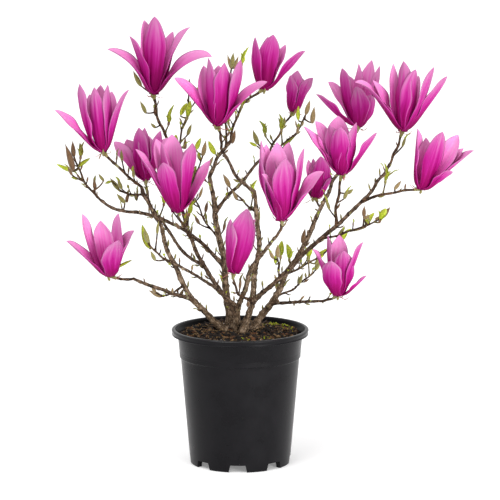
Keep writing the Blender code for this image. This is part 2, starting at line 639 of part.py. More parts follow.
def throat_mesh(base, axes, cup, plan):
    """The closed cup that the petals' roots make together."""
    up = axes[2]
    closed = [petal for petal in plan if petal["opening"] < math.radians(THROAT_CLOSED_ANGLE)]
    ribs = [petal_point(base, axes, petal, cup / petal["length"])[0] - base for petal in closed]
    reach = sum((rib - up * rib.dot(up)).length for rib in ribs) / len(ribs)
    places = [base - up * THROAT_SINK, base + up * THROAT_WAIST, base + up * cup]
    radii = [THROAT_FOOT_RADIUS, THROAT_WAIST_RADIUS, reach + THROAT_MARGIN]
    return tube_mesh("throat", places, [up] * 3, radii, THROAT_SIDES)


def face_outwards(mesh):
    shape = bmesh.new()
    shape.from_mesh(mesh)
    bmesh.ops.recalc_face_normals(shape, faces=shape.faces)
    shape.to_mesh(mesh)
    shape.free()


# Shoots, buds and leaves

def bud_mesh(foot, direction, length, thickness):
    """A pointed bud: a slim root, a full waist and a tip."""
    shares = (0.0, 0.45, 1.0)
    widths = (0.35, 1.0, 0.08)
    places = [foot + direction * length * share for share in shares]
    radii = [thickness / 2.0 * width for width in widths]
    return tube_mesh("bud", places, [direction] * len(shares), radii, 4)


def leaf_mesh(foot, direction, face, length, width):
    """A leaf as a flat diamond with a raised rib on both sides, eight faces in all."""
    side = direction.cross(face).normalized()
    normal = side.cross(direction).normalized()
    middle = foot + direction * length * 0.5
    tip = foot + direction * length
    points = [foot - direction * SUNK, middle + side * width / 2.0, tip, middle - side * width / 2.0,
              middle + normal * LEAF_THICKNESS / 2.0, middle - normal * LEAF_THICKNESS / 2.0]
    faces = [(index, (index + 1) % 4, 4) for index in range(4)]
    faces += [((index + 1) % 4, index, 5) for index in range(4)]
    mesh = bpy.data.meshes.new("leaf")
    mesh.from_pydata(points, [], faces)
    face_outwards(mesh)
    return mesh


class TakenSpace:
    """Round segments that already hold wood or petals, to keep new shoots clear of them."""

    def __init__(self):
        self.starts, self.ends, self.radii, self.owners = [], [], [], []

    def add(self, start, end, radius, owner):
        self.starts.append(start)
        self.ends.append(end)
        self.radii.append(radius)
        self.owners.append(owner)

    def is_free(self, points, radius, owner):
        starts = np.array(self.starts)
        along = np.array(self.ends) - starts
        squared = (along ** 2).sum(axis=1) + 1e-12
        others = np.array([name != owner for name in self.owners])
        for point in points:
            offset = np.array(point) - starts
            share = np.clip((offset * along).sum(axis=1) / squared, 0.0, 1.0)
            away = np.linalg.norm(offset - along * share[:, None], axis=1)
            if np.any((away < np.array(self.radii) + radius + CLEARANCE) & others):
                return False
        return True


def claim_limbs(space, limbs):
    for limb in limbs.values():
        steps = 12
        places = [limb_point(limb, index / steps) for index in range(steps + 1)]
        for index in range(steps):
            space.add(places[index], places[index + 1], limb_radius(limb, index / steps), limb["name"])


def claim_blooms(space, limbs):
    for row in BLOOMS:
        axes = bloom_axes(row[1], row[2])
        for petal in petal_plan(row):
            steps = 6
            places = [petal_point(limbs[row[0]]["tip"], axes, petal, index / steps)[0]
                      for index in range(steps + 1)]
            for index in range(steps):
                half = petal_width(petal, (index + 0.5) / steps) / 2.0
                space.add(places[index], places[index + 1], half, row[0] + " bloom")


def shoots_of(limb, has_bloom, space):
    """Side shoots by a seeded rule: one at each node of the twig, each turned on from the last.
    A shoot that would touch anything is skipped."""
    seed = random.Random(limb["name"] + " shoots")
    length = limb["length"]
    last = length - (LAST_SHOOT_BELOW_BLOOM if has_bloom else LAST_SHOOT_BELOW_BUD)
    turn = seed.uniform(0.0, 2.0 * math.pi)
    shoots = []
    along = FIRST_SHOOT
    while along < last:
        share = along / length
        direction = limb_direction(limb, share)
        side, other = ring_frame(direction, Vector(SHOOT_HINT))
        out = side * math.cos(turn) + other * math.sin(turn)
        heading = (out * SHOOT_OUT + direction * SHOOT_ON + Vector((0.0, 0.0, SHOOT_UP))).normalized()
        reach = seed.uniform(SHOOT_SHORTEST, SHOOT_LONGEST)
        kind = "leaf" if seed.random() < LEAF_CHANCE else "bud"
        end = LEAF_LENGTH if kind == "leaf" else BUD_LENGTH * seed.uniform(0.75, 1.0)
        foot = limb_point(limb, share)
        tip = foot + heading * reach
        up = (heading * BUD_ON + Vector((0.0, 0.0, BUD_UP))).normalized()
        probes = [foot.lerp(tip, 0.6), tip, tip + up * end * 0.5, tip + up * end]
        if space.is_free(probes, BUD_THICKNESS / 2.0, limb["name"]):
            shoots.append({"foot": foot, "tip": tip, "up": up, "kind": kind, "end": end, "out": out})
            space.add(foot.lerp(tip, 0.4), tip, SHOOT_THICKNESS, limb["name"] + " shoot")
            space.add(tip, tip + up * end, BUD_THICKNESS / 2.0, limb["name"] + " shoot")
        turn += SHOOT_TURN
        along += NODE_SPACING * seed.uniform(0.85, 1.2)
    return shoots


def shoot_meshes(shoot):
    heading = (shoot["tip"] - shoot["foot"]).normalized()
    places = [shoot["foot"], shoot["tip"] + shoot["up"] * SUNK]
    radii = [SHOOT_THICKNESS / 2.0, SHOOT_TAPER * SHOOT_THICKNESS / 2.0]
    meshes = [tube_mesh("shoot", places, [heading, shoot["up"]], radii, 3)]
    if shoot["kind"] == "leaf":
        meshes.append(leaf_mesh(shoot["tip"], shoot["up"], shoot["out"], shoot["end"], LEAF_WIDTH))
    else:
        meshes.append(bud_mesh(shoot["tip"], shoot["up"], shoot["end"], BUD_THICKNESS))
    return meshes


def join_pieces(made, meshes):
    """Fuse the meshes onto an object with one Boolean union on a collection."""
    pieces = bpy.data.collections.new(made.name + " pieces")
    for index, mesh in enumerate(meshes):
        pieces.objects.link(bpy.data.objects.new(f"{made.name}_piece_{index}", mesh))
    bpy.context.scene.collection.children.link(pieces)
    union = made.modifiers.new("fuse", "BOOLEAN")
    union.operation = "UNION"
    union.operand_type = "COLLECTION"
    union.solver = "MANIFOLD"
    union.collection = pieces
    mesh = baked_mesh(made)
    made.modifiers.clear()
    largest_piece(mesh)
    made.data = mesh
    for piece in list(pieces.objects):
        bpy.data.objects.remove(piece)
    bpy.data.collections.remove(pieces)


def build_spray(limb, bloom, space, parts, cutters, finish):
    made = new_object(limb["name"], limb_mesh(limb, SPRAY_STATIONS, SPRAY_SIDES), parts)
    meshes = []
    for shoot in shoots_of(limb, bloom is not None, space):
        meshes += shoot_meshes(shoot)
    if bloom:
        axes = bloom_axes(bloom[1], bloom[2])
        plan = petal_plan(bloom)
        meshes.append(throat_mesh(limb["tip"], axes, bloom[3] * MM, plan))
        meshes += [petal_mesh(limb["tip"], axes, petal) for petal in plan]
    else:
        up = (limb_direction(limb, 1.0) + Vector((0.0, 0.0, END_BUD_UP))).normalized()
        foot = limb["tip"] - limb_direction(limb, 1.0) * SUNK
        meshes.append(bud_mesh(foot, up, END_BUD_SCALE * BUD_LENGTH, END_BUD_SCALE * BUD_THICKNESS))
    join_pieces(made, meshes)
    cut_clear(made, limb, cutters)
    set_finish(made, finish)


def build():
    clear_scene()
    parts = new_collection("potted magnolia")
    cutters = new_collection("cutters")
    plastic = material("black polypropylene", (0.013, 0.013, 0.015), 0.42)
    compost = material("bark compost", (0.028, 0.014, 0.008), 0.95)
    bark = material("magnolia bark", (0.155, 0.105, 0.075), 0.80)
    petals = material("magnolia petals", (0.56, 0.06, 0.38), 0.50)
    greens = material("buds and young leaves", (0.20, 0.18, 0.05), 0.60)

    build_pot(parts, cutters, plastic)
    build_soil(parts, compost)

    limbs = layout()
    for name in [row[0] for row in STEMS + BOUGHS]:
        made = new_object(name, wood_mesh(limbs[name]), parts)
        cut_clear(made, limbs[name], cutters)
        set_finish(made, bark)

    space = TakenSpace()
    claim_limbs(space, limbs)
    claim_blooms(space, limbs)
    blooms = {row[0]: row for row in BLOOMS}
    for row in SPRAYS:
        bloom = blooms.get(row[0])
        build_spray(limbs[row[0]], bloom, space, parts, cutters, petals if bloom else greens)


build()
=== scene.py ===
# %% [markdown]
# A magnolia in its nursery pot
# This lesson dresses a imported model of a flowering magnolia. The model gives the pot, the soil,
# five stems, fourteen boughs and thirty-one sprays as plain solids. Each step below makes one
# piece as the real one is: wood with bark, petals with veins, downy buds, damp compost and black
# plastic. The solids say where everything is, so the scene loads them first and keeps their box.

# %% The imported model
import json
import math
import random

import bpy
import numpy as np
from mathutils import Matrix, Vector, noise

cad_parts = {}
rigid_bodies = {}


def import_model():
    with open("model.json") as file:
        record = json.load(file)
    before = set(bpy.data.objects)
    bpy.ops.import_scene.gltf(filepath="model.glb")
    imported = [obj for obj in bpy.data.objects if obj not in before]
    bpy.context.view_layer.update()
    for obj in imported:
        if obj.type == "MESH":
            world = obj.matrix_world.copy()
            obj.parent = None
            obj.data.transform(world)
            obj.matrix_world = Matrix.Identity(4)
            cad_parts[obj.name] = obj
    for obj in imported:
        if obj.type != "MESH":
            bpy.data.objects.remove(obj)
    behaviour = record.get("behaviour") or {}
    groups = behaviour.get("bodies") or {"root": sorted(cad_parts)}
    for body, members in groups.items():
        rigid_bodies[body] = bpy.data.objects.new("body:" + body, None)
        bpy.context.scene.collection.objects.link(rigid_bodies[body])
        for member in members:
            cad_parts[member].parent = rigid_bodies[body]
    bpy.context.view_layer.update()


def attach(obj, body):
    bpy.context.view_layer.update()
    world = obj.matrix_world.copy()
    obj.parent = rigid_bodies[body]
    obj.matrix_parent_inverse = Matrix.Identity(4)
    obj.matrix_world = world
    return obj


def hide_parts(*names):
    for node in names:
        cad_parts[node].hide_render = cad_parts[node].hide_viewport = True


for thing in list(bpy.data.objects):
    bpy.data.objects.remove(thing)
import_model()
BODY = "root"
MM = 0.001

# %% [markdown]
# The camera
# The photograph was taken from well away, a little above the crown, so that the plant's sides
# hardly converge. A long lens at 4.5 metres gives that. One pixel of the picture is 1.452 mm at
# the pot's axis, and the lens is worked out from it, so the picture's frame is the photograph's.

# %% The camera
CAMERA_DISTANCE = 4.5
CAMERA_ELEVATION = math.radians(9.8)
CAMERA_AIM = (0.0144, 0.0, 0.3145)
PICTURE_PIXELS = 500
PIXEL_SIZE = 1.452 * MM
SENSOR_MM = 36.0
FURTHEST_SEEN = 60.0


def place_camera():
    lens = bpy.data.cameras.new("camera")
    lens.sensor_width = SENSOR_MM
    lens.lens = SENSOR_MM * CAMERA_DISTANCE / (PICTURE_PIXELS * PIXEL_SIZE)
    lens.clip_end = FURTHEST_SEEN
    camera = bpy.data.objects.new("camera", lens)
    away = Vector((0.0, -math.cos(CAMERA_ELEVATION), math.sin(CAMERA_ELEVATION)))
    camera.location = Vector(CAMERA_AIM) + away * CAMERA_DISTANCE
    camera.rotation_euler = (math.pi / 2.0 - CAMERA_ELEVATION, 0.0, 0.0)
    bpy.context.scene.collection.objects.link(camera)
    bpy.context.scene.camera = camera
    print("lens in mm:", round(lens.lens, 1))


place_camera()

# %% [markdown]
# Colours, nodes and plain materials
# Colours are written as the hex values that a painter reads off a screen. Blender's sockets want
# linear light, so one function turns them. Another adds any shader node, with its settings, the
# values of its sockets and what feeds them, which keeps each material short enough to read.

# %% Colours, nodes and plain materials


def linear(colour):
    """Linear red, green, blue and alpha of a hex colour, by the sRGB standard's own formula."""
    parts = [int(colour[place:place + 2], 16) / 255.0 for place in (1, 3, 5)]
    bent = [part / 12.92 if part <= 0.04045 else ((part + 0.055) / 1.055) ** 2.4 for part in parts]
    return (*bent, 1.0)


def node(tree, kind, sockets=None, links=None, stops=None, **settings):
    """Add one shader node. Sockets are named by their label or their number."""
    made = tree.nodes.new("ShaderNode" + kind)
    for name, value in settings.items():
        setattr(made, name, value)
    for name, value in (sockets or {}).items():
        made.inputs[name].default_value = value
    for name, source in (links or {}).items():
        tree.links.new(source, made.inputs[name])
    for index, (place, colour) in enumerate(stops or []):
        elements = made.color_ramp.elements
        stop = elements[index] if index < len(elements) else elements.new(place)
        stop.position = place
        stop.color = linear(colour)
    return made


def new_material(name, colour, roughness, ior, **sockets):
    """A principled material. Sockets are named with underscores for spaces."""
    made = bpy.data.materials.new(name)
    made.use_nodes = True
    shader = made.node_tree.nodes["Principled BSDF"]
    sockets = {"Base_Color": linear(colour), "Roughness": roughness, "IOR": ior, **sockets}
    for label, value in sockets.items():
        shader.inputs[label.replace("_", " ")].default_value = value
    return made, made.node_tree, shader


def feed(tree, shader, **sources):
    """Link outputs to the shader's sockets, which are named as in new_material."""
    for label, source in sources.items():
        tree.links.new(source, shader.inputs[label.replace("_", " ")])


# %% [markdown]
# The studio
# The plant stands in a white studio: a pale floor that runs back without an edge, soft light from
# all sides and one broad lamp above the front left. A white world gives the even light, a large,
# soft sun gives the shapes their shading, and a panel low on the right lights that side of the
# black pot, where only a reflection can show. The floor is lit a little from below, as a light
# table is, so its shadows stay faint. The standard view keeps the magenta saturated.

# %% The studio
FLOOR_SIZE = 60.0
WORLD_LIGHT = 0.83
KEY_LIGHT = 1.08
KEY_SOFTNESS = math.radians(32.0)
KEY_TURN = (math.radians(28.0), math.radians(-22.0), 0.0)
PANEL_SIZE = (1.2, 1.0)
PANEL_PLACE = (1.5, -2.2, 0.55)
PANEL_TURN = (math.radians(84.0), 0.0, math.radians(34.0))
PANEL_POWER = 48.0
TABLE_LIGHT = 0.22


def add_lamp(name, kind, energy, turn, place=(0.0, 0.0, 0.0)):
    lamp = bpy.data.lights.new(name, kind)
    lamp.energy = energy
    holder = bpy.data.objects.new(name, lamp)
    holder.location = place
    holder.rotation_euler = turn
    bpy.context.scene.collection.objects.link(holder)
    return lamp


def build_studio():
    scene = bpy.context.scene
    scene.view_settings.view_transform = "Standard"
    scene.world = bpy.data.worlds.new("studio")
    scene.world.use_nodes = True
    background = scene.world.node_tree.nodes["Background"]
    background.inputs["Color"].default_value = linear("#FFFFFF")
    background.inputs["Strength"].default_value = WORLD_LIGHT
    add_lamp("key", "SUN", KEY_LIGHT, KEY_TURN).angle = KEY_SOFTNESS
    panel = add_lamp("panel", "AREA", PANEL_POWER, PANEL_TURN, PANEL_PLACE)
    panel.shape = "RECTANGLE"
    panel.size, panel.size_y = PANEL_SIZE
    bpy.ops.mesh.primitive_plane_add(size=FLOOR_SIZE)
    floor = bpy.context.object
    floor.name = "floor"
    paper = new_material("studio_paper", "#FAFAFA", roughness=0.9, ior=1.45,
                         Emission_Strength=TABLE_LIGHT)[0]
    floor.data.materials.append(paper)
    print("lamps:", len(bpy.data.lights), "floor in metres:", FLOOR_SIZE)


build_studio()

# %% [markdown]
# Joined meshes
# Hundreds of buds or thousands of chips are far too many for one object each. A heap gathers
# arrays of points and faces and turns them into one mesh at the end. Most shapes here are lofts:
# closed rings of points with a skin between them and a fan over each end. A limb is a loft round
# a line, and a petal is a very flat one.

# %% Joined meshes
STEEP = 0.9  # a line steeper than this takes its side from another axis


class Heap:
    """Points, faces, material numbers and marks of many small shapes, for one joined piece."""

    def __init__(self, name):
        self.name = name
        self.points, self.faces, self.slots, self.maps = [], [], [], []
        self.marks = {}
        self.total = 0

    def add(self, shape, slot=0, marks=None, map_corners=None):
        points, faces = shape
        self.points.append(points)
        for rows in faces:
            self.faces.append(rows + self.total)
            self.slots.append(np.full(len(rows), slot))
        for name, values in (marks or {}).items():
            self.marks.setdefault(name, []).append(values)
        if map_corners is not None:
            self.maps.append(map_corners)
        self.total += len(points)

    def piece(self, materials, record_slot, replaces=(), smooth=True):
        corners = np.concatenate([rows.ravel() for rows in self.faces])
        sizes = np.concatenate([np.full(len(rows), rows.shape[1]) for rows in self.faces])
        mesh = bpy.data.meshes.new(self.name)
        mesh.vertices.add(self.total)
        mesh.loops.add(len(corners))
        mesh.polygons.add(len(sizes))
        mesh.vertices.foreach_set("co", np.concatenate(self.points).astype(np.float32).ravel())
        mesh.polygons.foreach_set("loop_start", np.concatenate([[0], np.cumsum(sizes)[:-1]]))
        mesh.polygons.foreach_set("vertices", corners)
        mesh.polygons.foreach_set("material_index", np.concatenate(self.slots))
        for name, values in self.marks.items():
            mark = mesh.attributes.new(name, "FLOAT", "POINT")
            mark.data.foreach_set("value", np.concatenate(values).astype(np.float32))
        if self.maps:
            layer = mesh.uv_layers.new(name="OFBake")
            layer.data.foreach_set("uv", np.concatenate(self.maps).astype(np.float32).ravel())
        for material in materials:
            mesh.materials.append(material)
        mesh.update(calc_edges=True)
        if smooth:
            mesh.shade_smooth()
        made = bpy.data.objects.new(self.name, mesh)
        bpy.context.scene.collection.objects.link(made)
        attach(made, BODY)
        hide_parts(*replaces)
        print(self.name, "triangles:", int((sizes - 2).sum()))
        return made


def unit(rows):
    """Rows of vectors, each made one long."""
    return rows / np.linalg.norm(rows, axis=-1, keepdims=True)


def loft(rings):
    """A skin between closed rings of points, which turn anticlockwise seen from the last one."""
    count, sides = rings.shape[:2]
    ring = np.arange(sides)
    after = (ring + 1) % sides
    base = (np.arange(count - 1) * sides)[:, None]
    quads = np.stack([base + ring, base + after, base + sides + after, base + sides + ring], -1)
    first, last = count * sides, (count - 1) * sides
    foot = np.stack([after, ring, np.full(sides, first)], -1)
    head = np.stack([last + ring, last + after, np.full(sides, first + 1)], -1)
    points = np.concatenate([rings.reshape(-1, 3), rings[:1].mean(1), rings[-1:].mean(1)])
    return points, [quads.reshape(-1, 4), np.concatenate([foot, head])]


def line_frame(places):
    """Two directions across a line at each of its places, turned as little as may be."""
    along = unit(np.gradient(places, axis=0))
    side = np.cross(along[0], (0.0, 0.0, 1.0) if abs(along[0][2]) < STEEP else (1.0, 0.0, 0.0))
    sides = []
    for direction in along:
        side = unit(side - direction * side.dot(direction))
        sides.append(side)
    sides = np.array(sides)
    return sides, np.cross(along, sides)


def tube(places, radii, sides):
    """A loft round a line. The radii are one for each place, or one for each place and side."""
    side, other = line_frame(places)
    angle = 2.0 * np.pi * np.arange(sides) / sides
    radii = radii[:, None] if radii.ndim == 1 else radii
    out = side[:, None] * np.cos(angle)[:, None] + other[:, None] * np.sin(angle)[:, None]
    return loft(places[:, None] + out * np.broadcast_to(radii, (len(places), sides))[..., None])


# %% [markdown]
# The plan of the plant
# The crown is drawn from the same plan as the solids: stems that stand on the soil, boughs that
# leave a stem some way along it or run on from its tip, and sprays that end in a bloom or a bud.
# A limb is a straight line with a bow and small kinks, and its seed is its own name. So every
# bough here runs through the middle of its solid, and finer twigs can be grown on from there.

# %% The plan of the plant
GAP = 0.3 * MM
SOIL_LEVEL = 0.195
STEMS = (
    ("stem_left", (-23, 4), (-113, -50, 359), (-13, -7, -9), 9.5, 5.2),
    ("stem_back", (-13, 20), (-45, 80, 409), (2, -6, 0), 12.5, 5.8),
    ("stem_front", (-5, -3), (52, -130, 357), (-13, 18, 3), 9.0, 4.2),
    ("stem_middle", (4, -17), (21, 20, 397), (12, -2, 0), 10.0, 5.0),
    ("stem_right", (17, 6), (123, 58, 377), (-2, -10, -14), 10.5, 5.4),
)
BOUGHS = (
    ("bough_left_low", "stem_left", 0.36, (-152, -72, 285), (0, 0, -2), 6.0, 4.2),
    ("bough_left_rise", "stem_left", 1.0, (-141, -42, 413), (-3, 0, 2), 5.4, 4.6),
    ("bough_left_cross", "stem_back", 0.41, (-160, -28, 375), (0, 6, 19), 5.4, 4.4),
    ("bough_left_out", "bough_left_cross", 1.0, (-200, -34, 393), (-2, 0, -3), 4.4, 3.8),
    ("bough_left_top", "stem_front", 0.15, (-105, 48, 467), (-22, -8, 0), 7.0, 4.4),
    ("bough_left_back", "bough_left_top", 0.29, (-112, 45, 347), (0, 4, -12), 5.0, 4.0),
    ("bough_front_left", "stem_front", 0.22, (-97, -86, 312), (-2, 0, 6), 5.0, 3.6),
    ("bough_back_top", "stem_back", 1.0, (-14, 98, 461), (-4, 2, 0), 5.8, 4.4),
    ("bough_back_right", "stem_back", 0.77, (44, 130, 442), (0, 4, 2), 5.0, 4.0),
    ("bough_middle_top", "stem_middle", 1.0, (-27, -18, 466), (0, 0, -10), 5.4, 4.2),
    ("bough_right_front", "stem_middle", 0.22, (182, -46, 400), (-2, -4, -2), 7.4, 4.8),
    ("bough_right_high", "bough_right_front", 1.0, (217, -9, 443), (2, -2, 2), 4.6, 4.0),
    ("bough_right_low", "stem_right", 0.27, (112, -68, 252), (0, 0, 0), 5.0, 3.8),
    ("bough_right_back", "stem_right", 1.0, (158, 98, 437), (-2, 0, -2), 5.4, 4.2),
)
SPRAYS = (
    ("spray_bloom_01", "bough_left_top", 1.0, (-126, 62, 534), (-4, 2, 0), 4.0, 3.6),
    ("spray_bloom_02", "bough_left_rise", 1.0, (-195, -60, 466), (0, 0, -2), 4.2, 3.4),
    ("spray_bloom_03", "bough_left_back", 1.0, (-137, 15, 414), (-6, 6, -4), 3.6, 3.0),
    ("spray_bloom_04", "bough_left_top", 0.45, (-88, -90, 384), (-4, 0, 4), 4.0, 3.6),
    ("spray_bloom_05", "bough_left_low", 1.0, (-184, -88, 291), (0, 0, -2), 3.8, 3.2),
    ("spray_bloom_06", "bough_middle_top", 1.0, (-32, -25, 499), (2, 0, 0), 3.8, 3.6),
    ("spray_bloom_07", "bough_back_top", 1.0, (35, 130, 532), (-10, 0, 10), 4.0, 3.2),
    ("spray_bloom_08", "bough_back_right", 1.0, (79, 190, 491), (-2, 0, 0), 3.6, 2.8),
    ("spray_bloom_09", "bough_right_back", 1.0, (175, 120, 478), (0, 0, 0), 3.8, 3.4),
    ("spray_bloom_10", "bough_right_high", 1.0, (235, 6, 487), (0, 0, 0), 3.8, 3.4),
    ("spray_bloom_11", "bough_right_front", 0.96, (257, -72, 414), (0, 0, 4), 4.2, 3.2),
    ("spray_bloom_12", "bough_right_front", 0.74, (146, -50, 432), (-3, -2, 0), 4.0, 3.4),
    ("spray_bloom_13", "stem_right", 0.95, (110, 98, 375), (4, 0, -4), 3.4, 2.8),
    ("spray_bloom_14", "stem_front", 1.0, (59, -150, 382), (2, 0, 0), 4.2, 3.8),
    ("spray_bloom_15", "stem_middle", 0.24, (-9, -82, 295), (-8, -14, -6), 3.6, 3.0),
    ("spray_bloom_16", "bough_right_low", 1.0, (139, -94, 264), (0, 0, -2), 3.6, 3.2),
    ("spray_buds_01", "bough_left_out", 1.0, (-239, -18, 455), (-4, 0, -4), 3.6, 2.4),
    ("spray_buds_02", "bough_front_left", 1.0, (-130, -112, 346), (-2, 0, -4), 3.4, 2.2),
    ("spray_buds_03", "bough_left_top", 0.50, (-54, 40, 448), (-6, 2, 0), 3.2, 2.2),
    ("spray_buds_04", "bough_back_right", 0.93, (97, 98, 501), (6, -4, -6), 3.0, 2.2),
    ("spray_buds_05", "bough_right_front", 0.62, (202, -98, 378), (0, 0, -4), 3.4, 2.2),
    ("spray_buds_06", "bough_right_front", 0.24, (54, -50, 313), (0, 0, 2), 2.8, 2.2),
    ("spray_buds_07", "stem_right", 0.34, (112, 92, 269), (0, 0, -6), 3.2, 2.2),
    ("spray_buds_08", "stem_right", 0.52, (146, 112, 313), (0, 0, -8), 3.2, 2.2),
    ("spray_buds_09", "stem_middle", 0.86, (-16, 52, 400), (0, 0, -3), 3.0, 2.2),
    ("spray_buds_10", "stem_left", 0.50, (-116, -8, 247), (0, 0, -3), 2.8, 2.2),
    ("spray_buds_11", "bough_left_top", 0.86, (-75, 60, 536), (6, 0, 0), 3.2, 2.2),
    ("spray_buds_12", "stem_back", 0.58, (-72, 128, 378), (0, 0, -6), 3.4, 2.2),
    ("spray_buds_13", "stem_back", 0.42, (24, 118, 334), (0, 0, -6), 3.2, 2.2),
    ("spray_buds_14", "bough_left_rise", 0.80, (-176, -8, 405), (0, 0, -4), 3.0, 2.2),
    ("spray_buds_15", "bough_back_top", 0.82, (-12, 72, 574), (-2, 4, 0), 3.0, 2.2),
)
TAPER = 0.75
FLARE = 0.45
FLARE_HEIGHT = 12.0 * MM
KINK = 2.2 * MM
KINK_SHARE = 0.02
FULL_BOW = 4.0  # a parabola, share * (1 - share), is a quarter high in its middle
STEM_WAVES = 2.2
BOUGH_WAVES = 1.6
CROSS_WAVES = 1.3


def limb_point(limb, share):
    """Places on a limb's centre line for one share of its length, or for many."""
    share = np.asarray(share, float)[..., None]
    start, tip = limb["start"], limb["tip"]
    place = start + (tip - start) * share + limb["bow"] * (FULL_BOW * share * (1.0 - share))
    wave = 2.0 * np.pi * limb["waves"] * share
    across = np.concatenate([np.sin(wave + limb["phase"]),
                             np.cos(CROSS_WAVES * wave + limb["phase"]), 0.0 * wave], axis=-1)
    return place + across * limb["kink"] * np.sin(np.pi * share)


def limb_direction(limb, share, step=0.01):
    return unit(limb_point(limb, min(1.0, share + step)) - limb_point(limb, max(0.0, share - step)))


def limb_radius(limb, share):
    share = np.asarray(share, float)
    foot, tip = limb["radius"]
    radius = foot + (tip - foot) * np.clip(share, 0.0, 1.0) ** TAPER
    if limb["parent"] is None:
        climbed = np.linalg.norm(limb_point(limb, share) - limb["start"], axis=-1)
        radius = radius * (1.0 + FLARE * np.exp(-climbed / FLARE_HEIGHT))
    return radius


def new_limb(name, parent, start, tip, bow, thickness, waves, runs_on):
    seed = random.Random(name)
    tip, bow = np.array(tip) * MM, np.array(bow) * MM
    length = float(np.linalg.norm(tip - start))
    return {"name": name, "parent": parent, "start": start, "tip": tip, "bow": bow,
            "radius": (thickness[0] * MM / 2.0, thickness[1] * MM / 2.0),
            "phase": seed.uniform(0.0, 2.0 * math.pi), "kink": min(KINK, KINK_SHARE * length),
            "waves": waves, "length": length, "runs_on": runs_on}


def lay_out_limbs():
    limbs = {}
    for name, foot, tip, bow, base, end in STEMS:
        start = np.array([foot[0] * MM, foot[1] * MM, SOIL_LEVEL + GAP])
        limbs[name] = new_limb(name, None, start, tip, bow, (base, end), STEM_WAVES, False)
    for name, parent, leaves_at, tip, bow, base, end in BOUGHS + SPRAYS:
        carrier = limbs[parent]
        start = limb_point(carrier, leaves_at)
        runs_on = leaves_at == 1.0
        if runs_on:
            start = start + limb_direction(carrier, 1.0) * GAP
        limbs[name] = new_limb(name, carrier, start, tip, bow, (base, end), BOUGH_WAVES, runs_on)
    return limbs


limbs = lay_out_limbs()
STEM_NAMES = [row[0] for row in STEMS]
BOUGH_NAMES = [row[0] for row in BOUGHS]
SPRAY_NAMES = [row[0] for row in SPRAYS]
print("limbs:", len(limbs))

# %% [markdown]
# The blooms' plan
# A magnolia bloom has no separate petals and sepals: its petals stand in whorls, outer ones that
# spread and curl out and inner ones that stay closed as a cup. Each bloom is a row here: its
# spray, how it leans to the right and to the front in degrees, and its petals. For each petal
# come where the tip stands from the bloom's foot, in millimetres to the right, to the back and
# up, then the curl in degrees, the width in millimetres, and how far its inner side is turned to
# the front, in degrees.

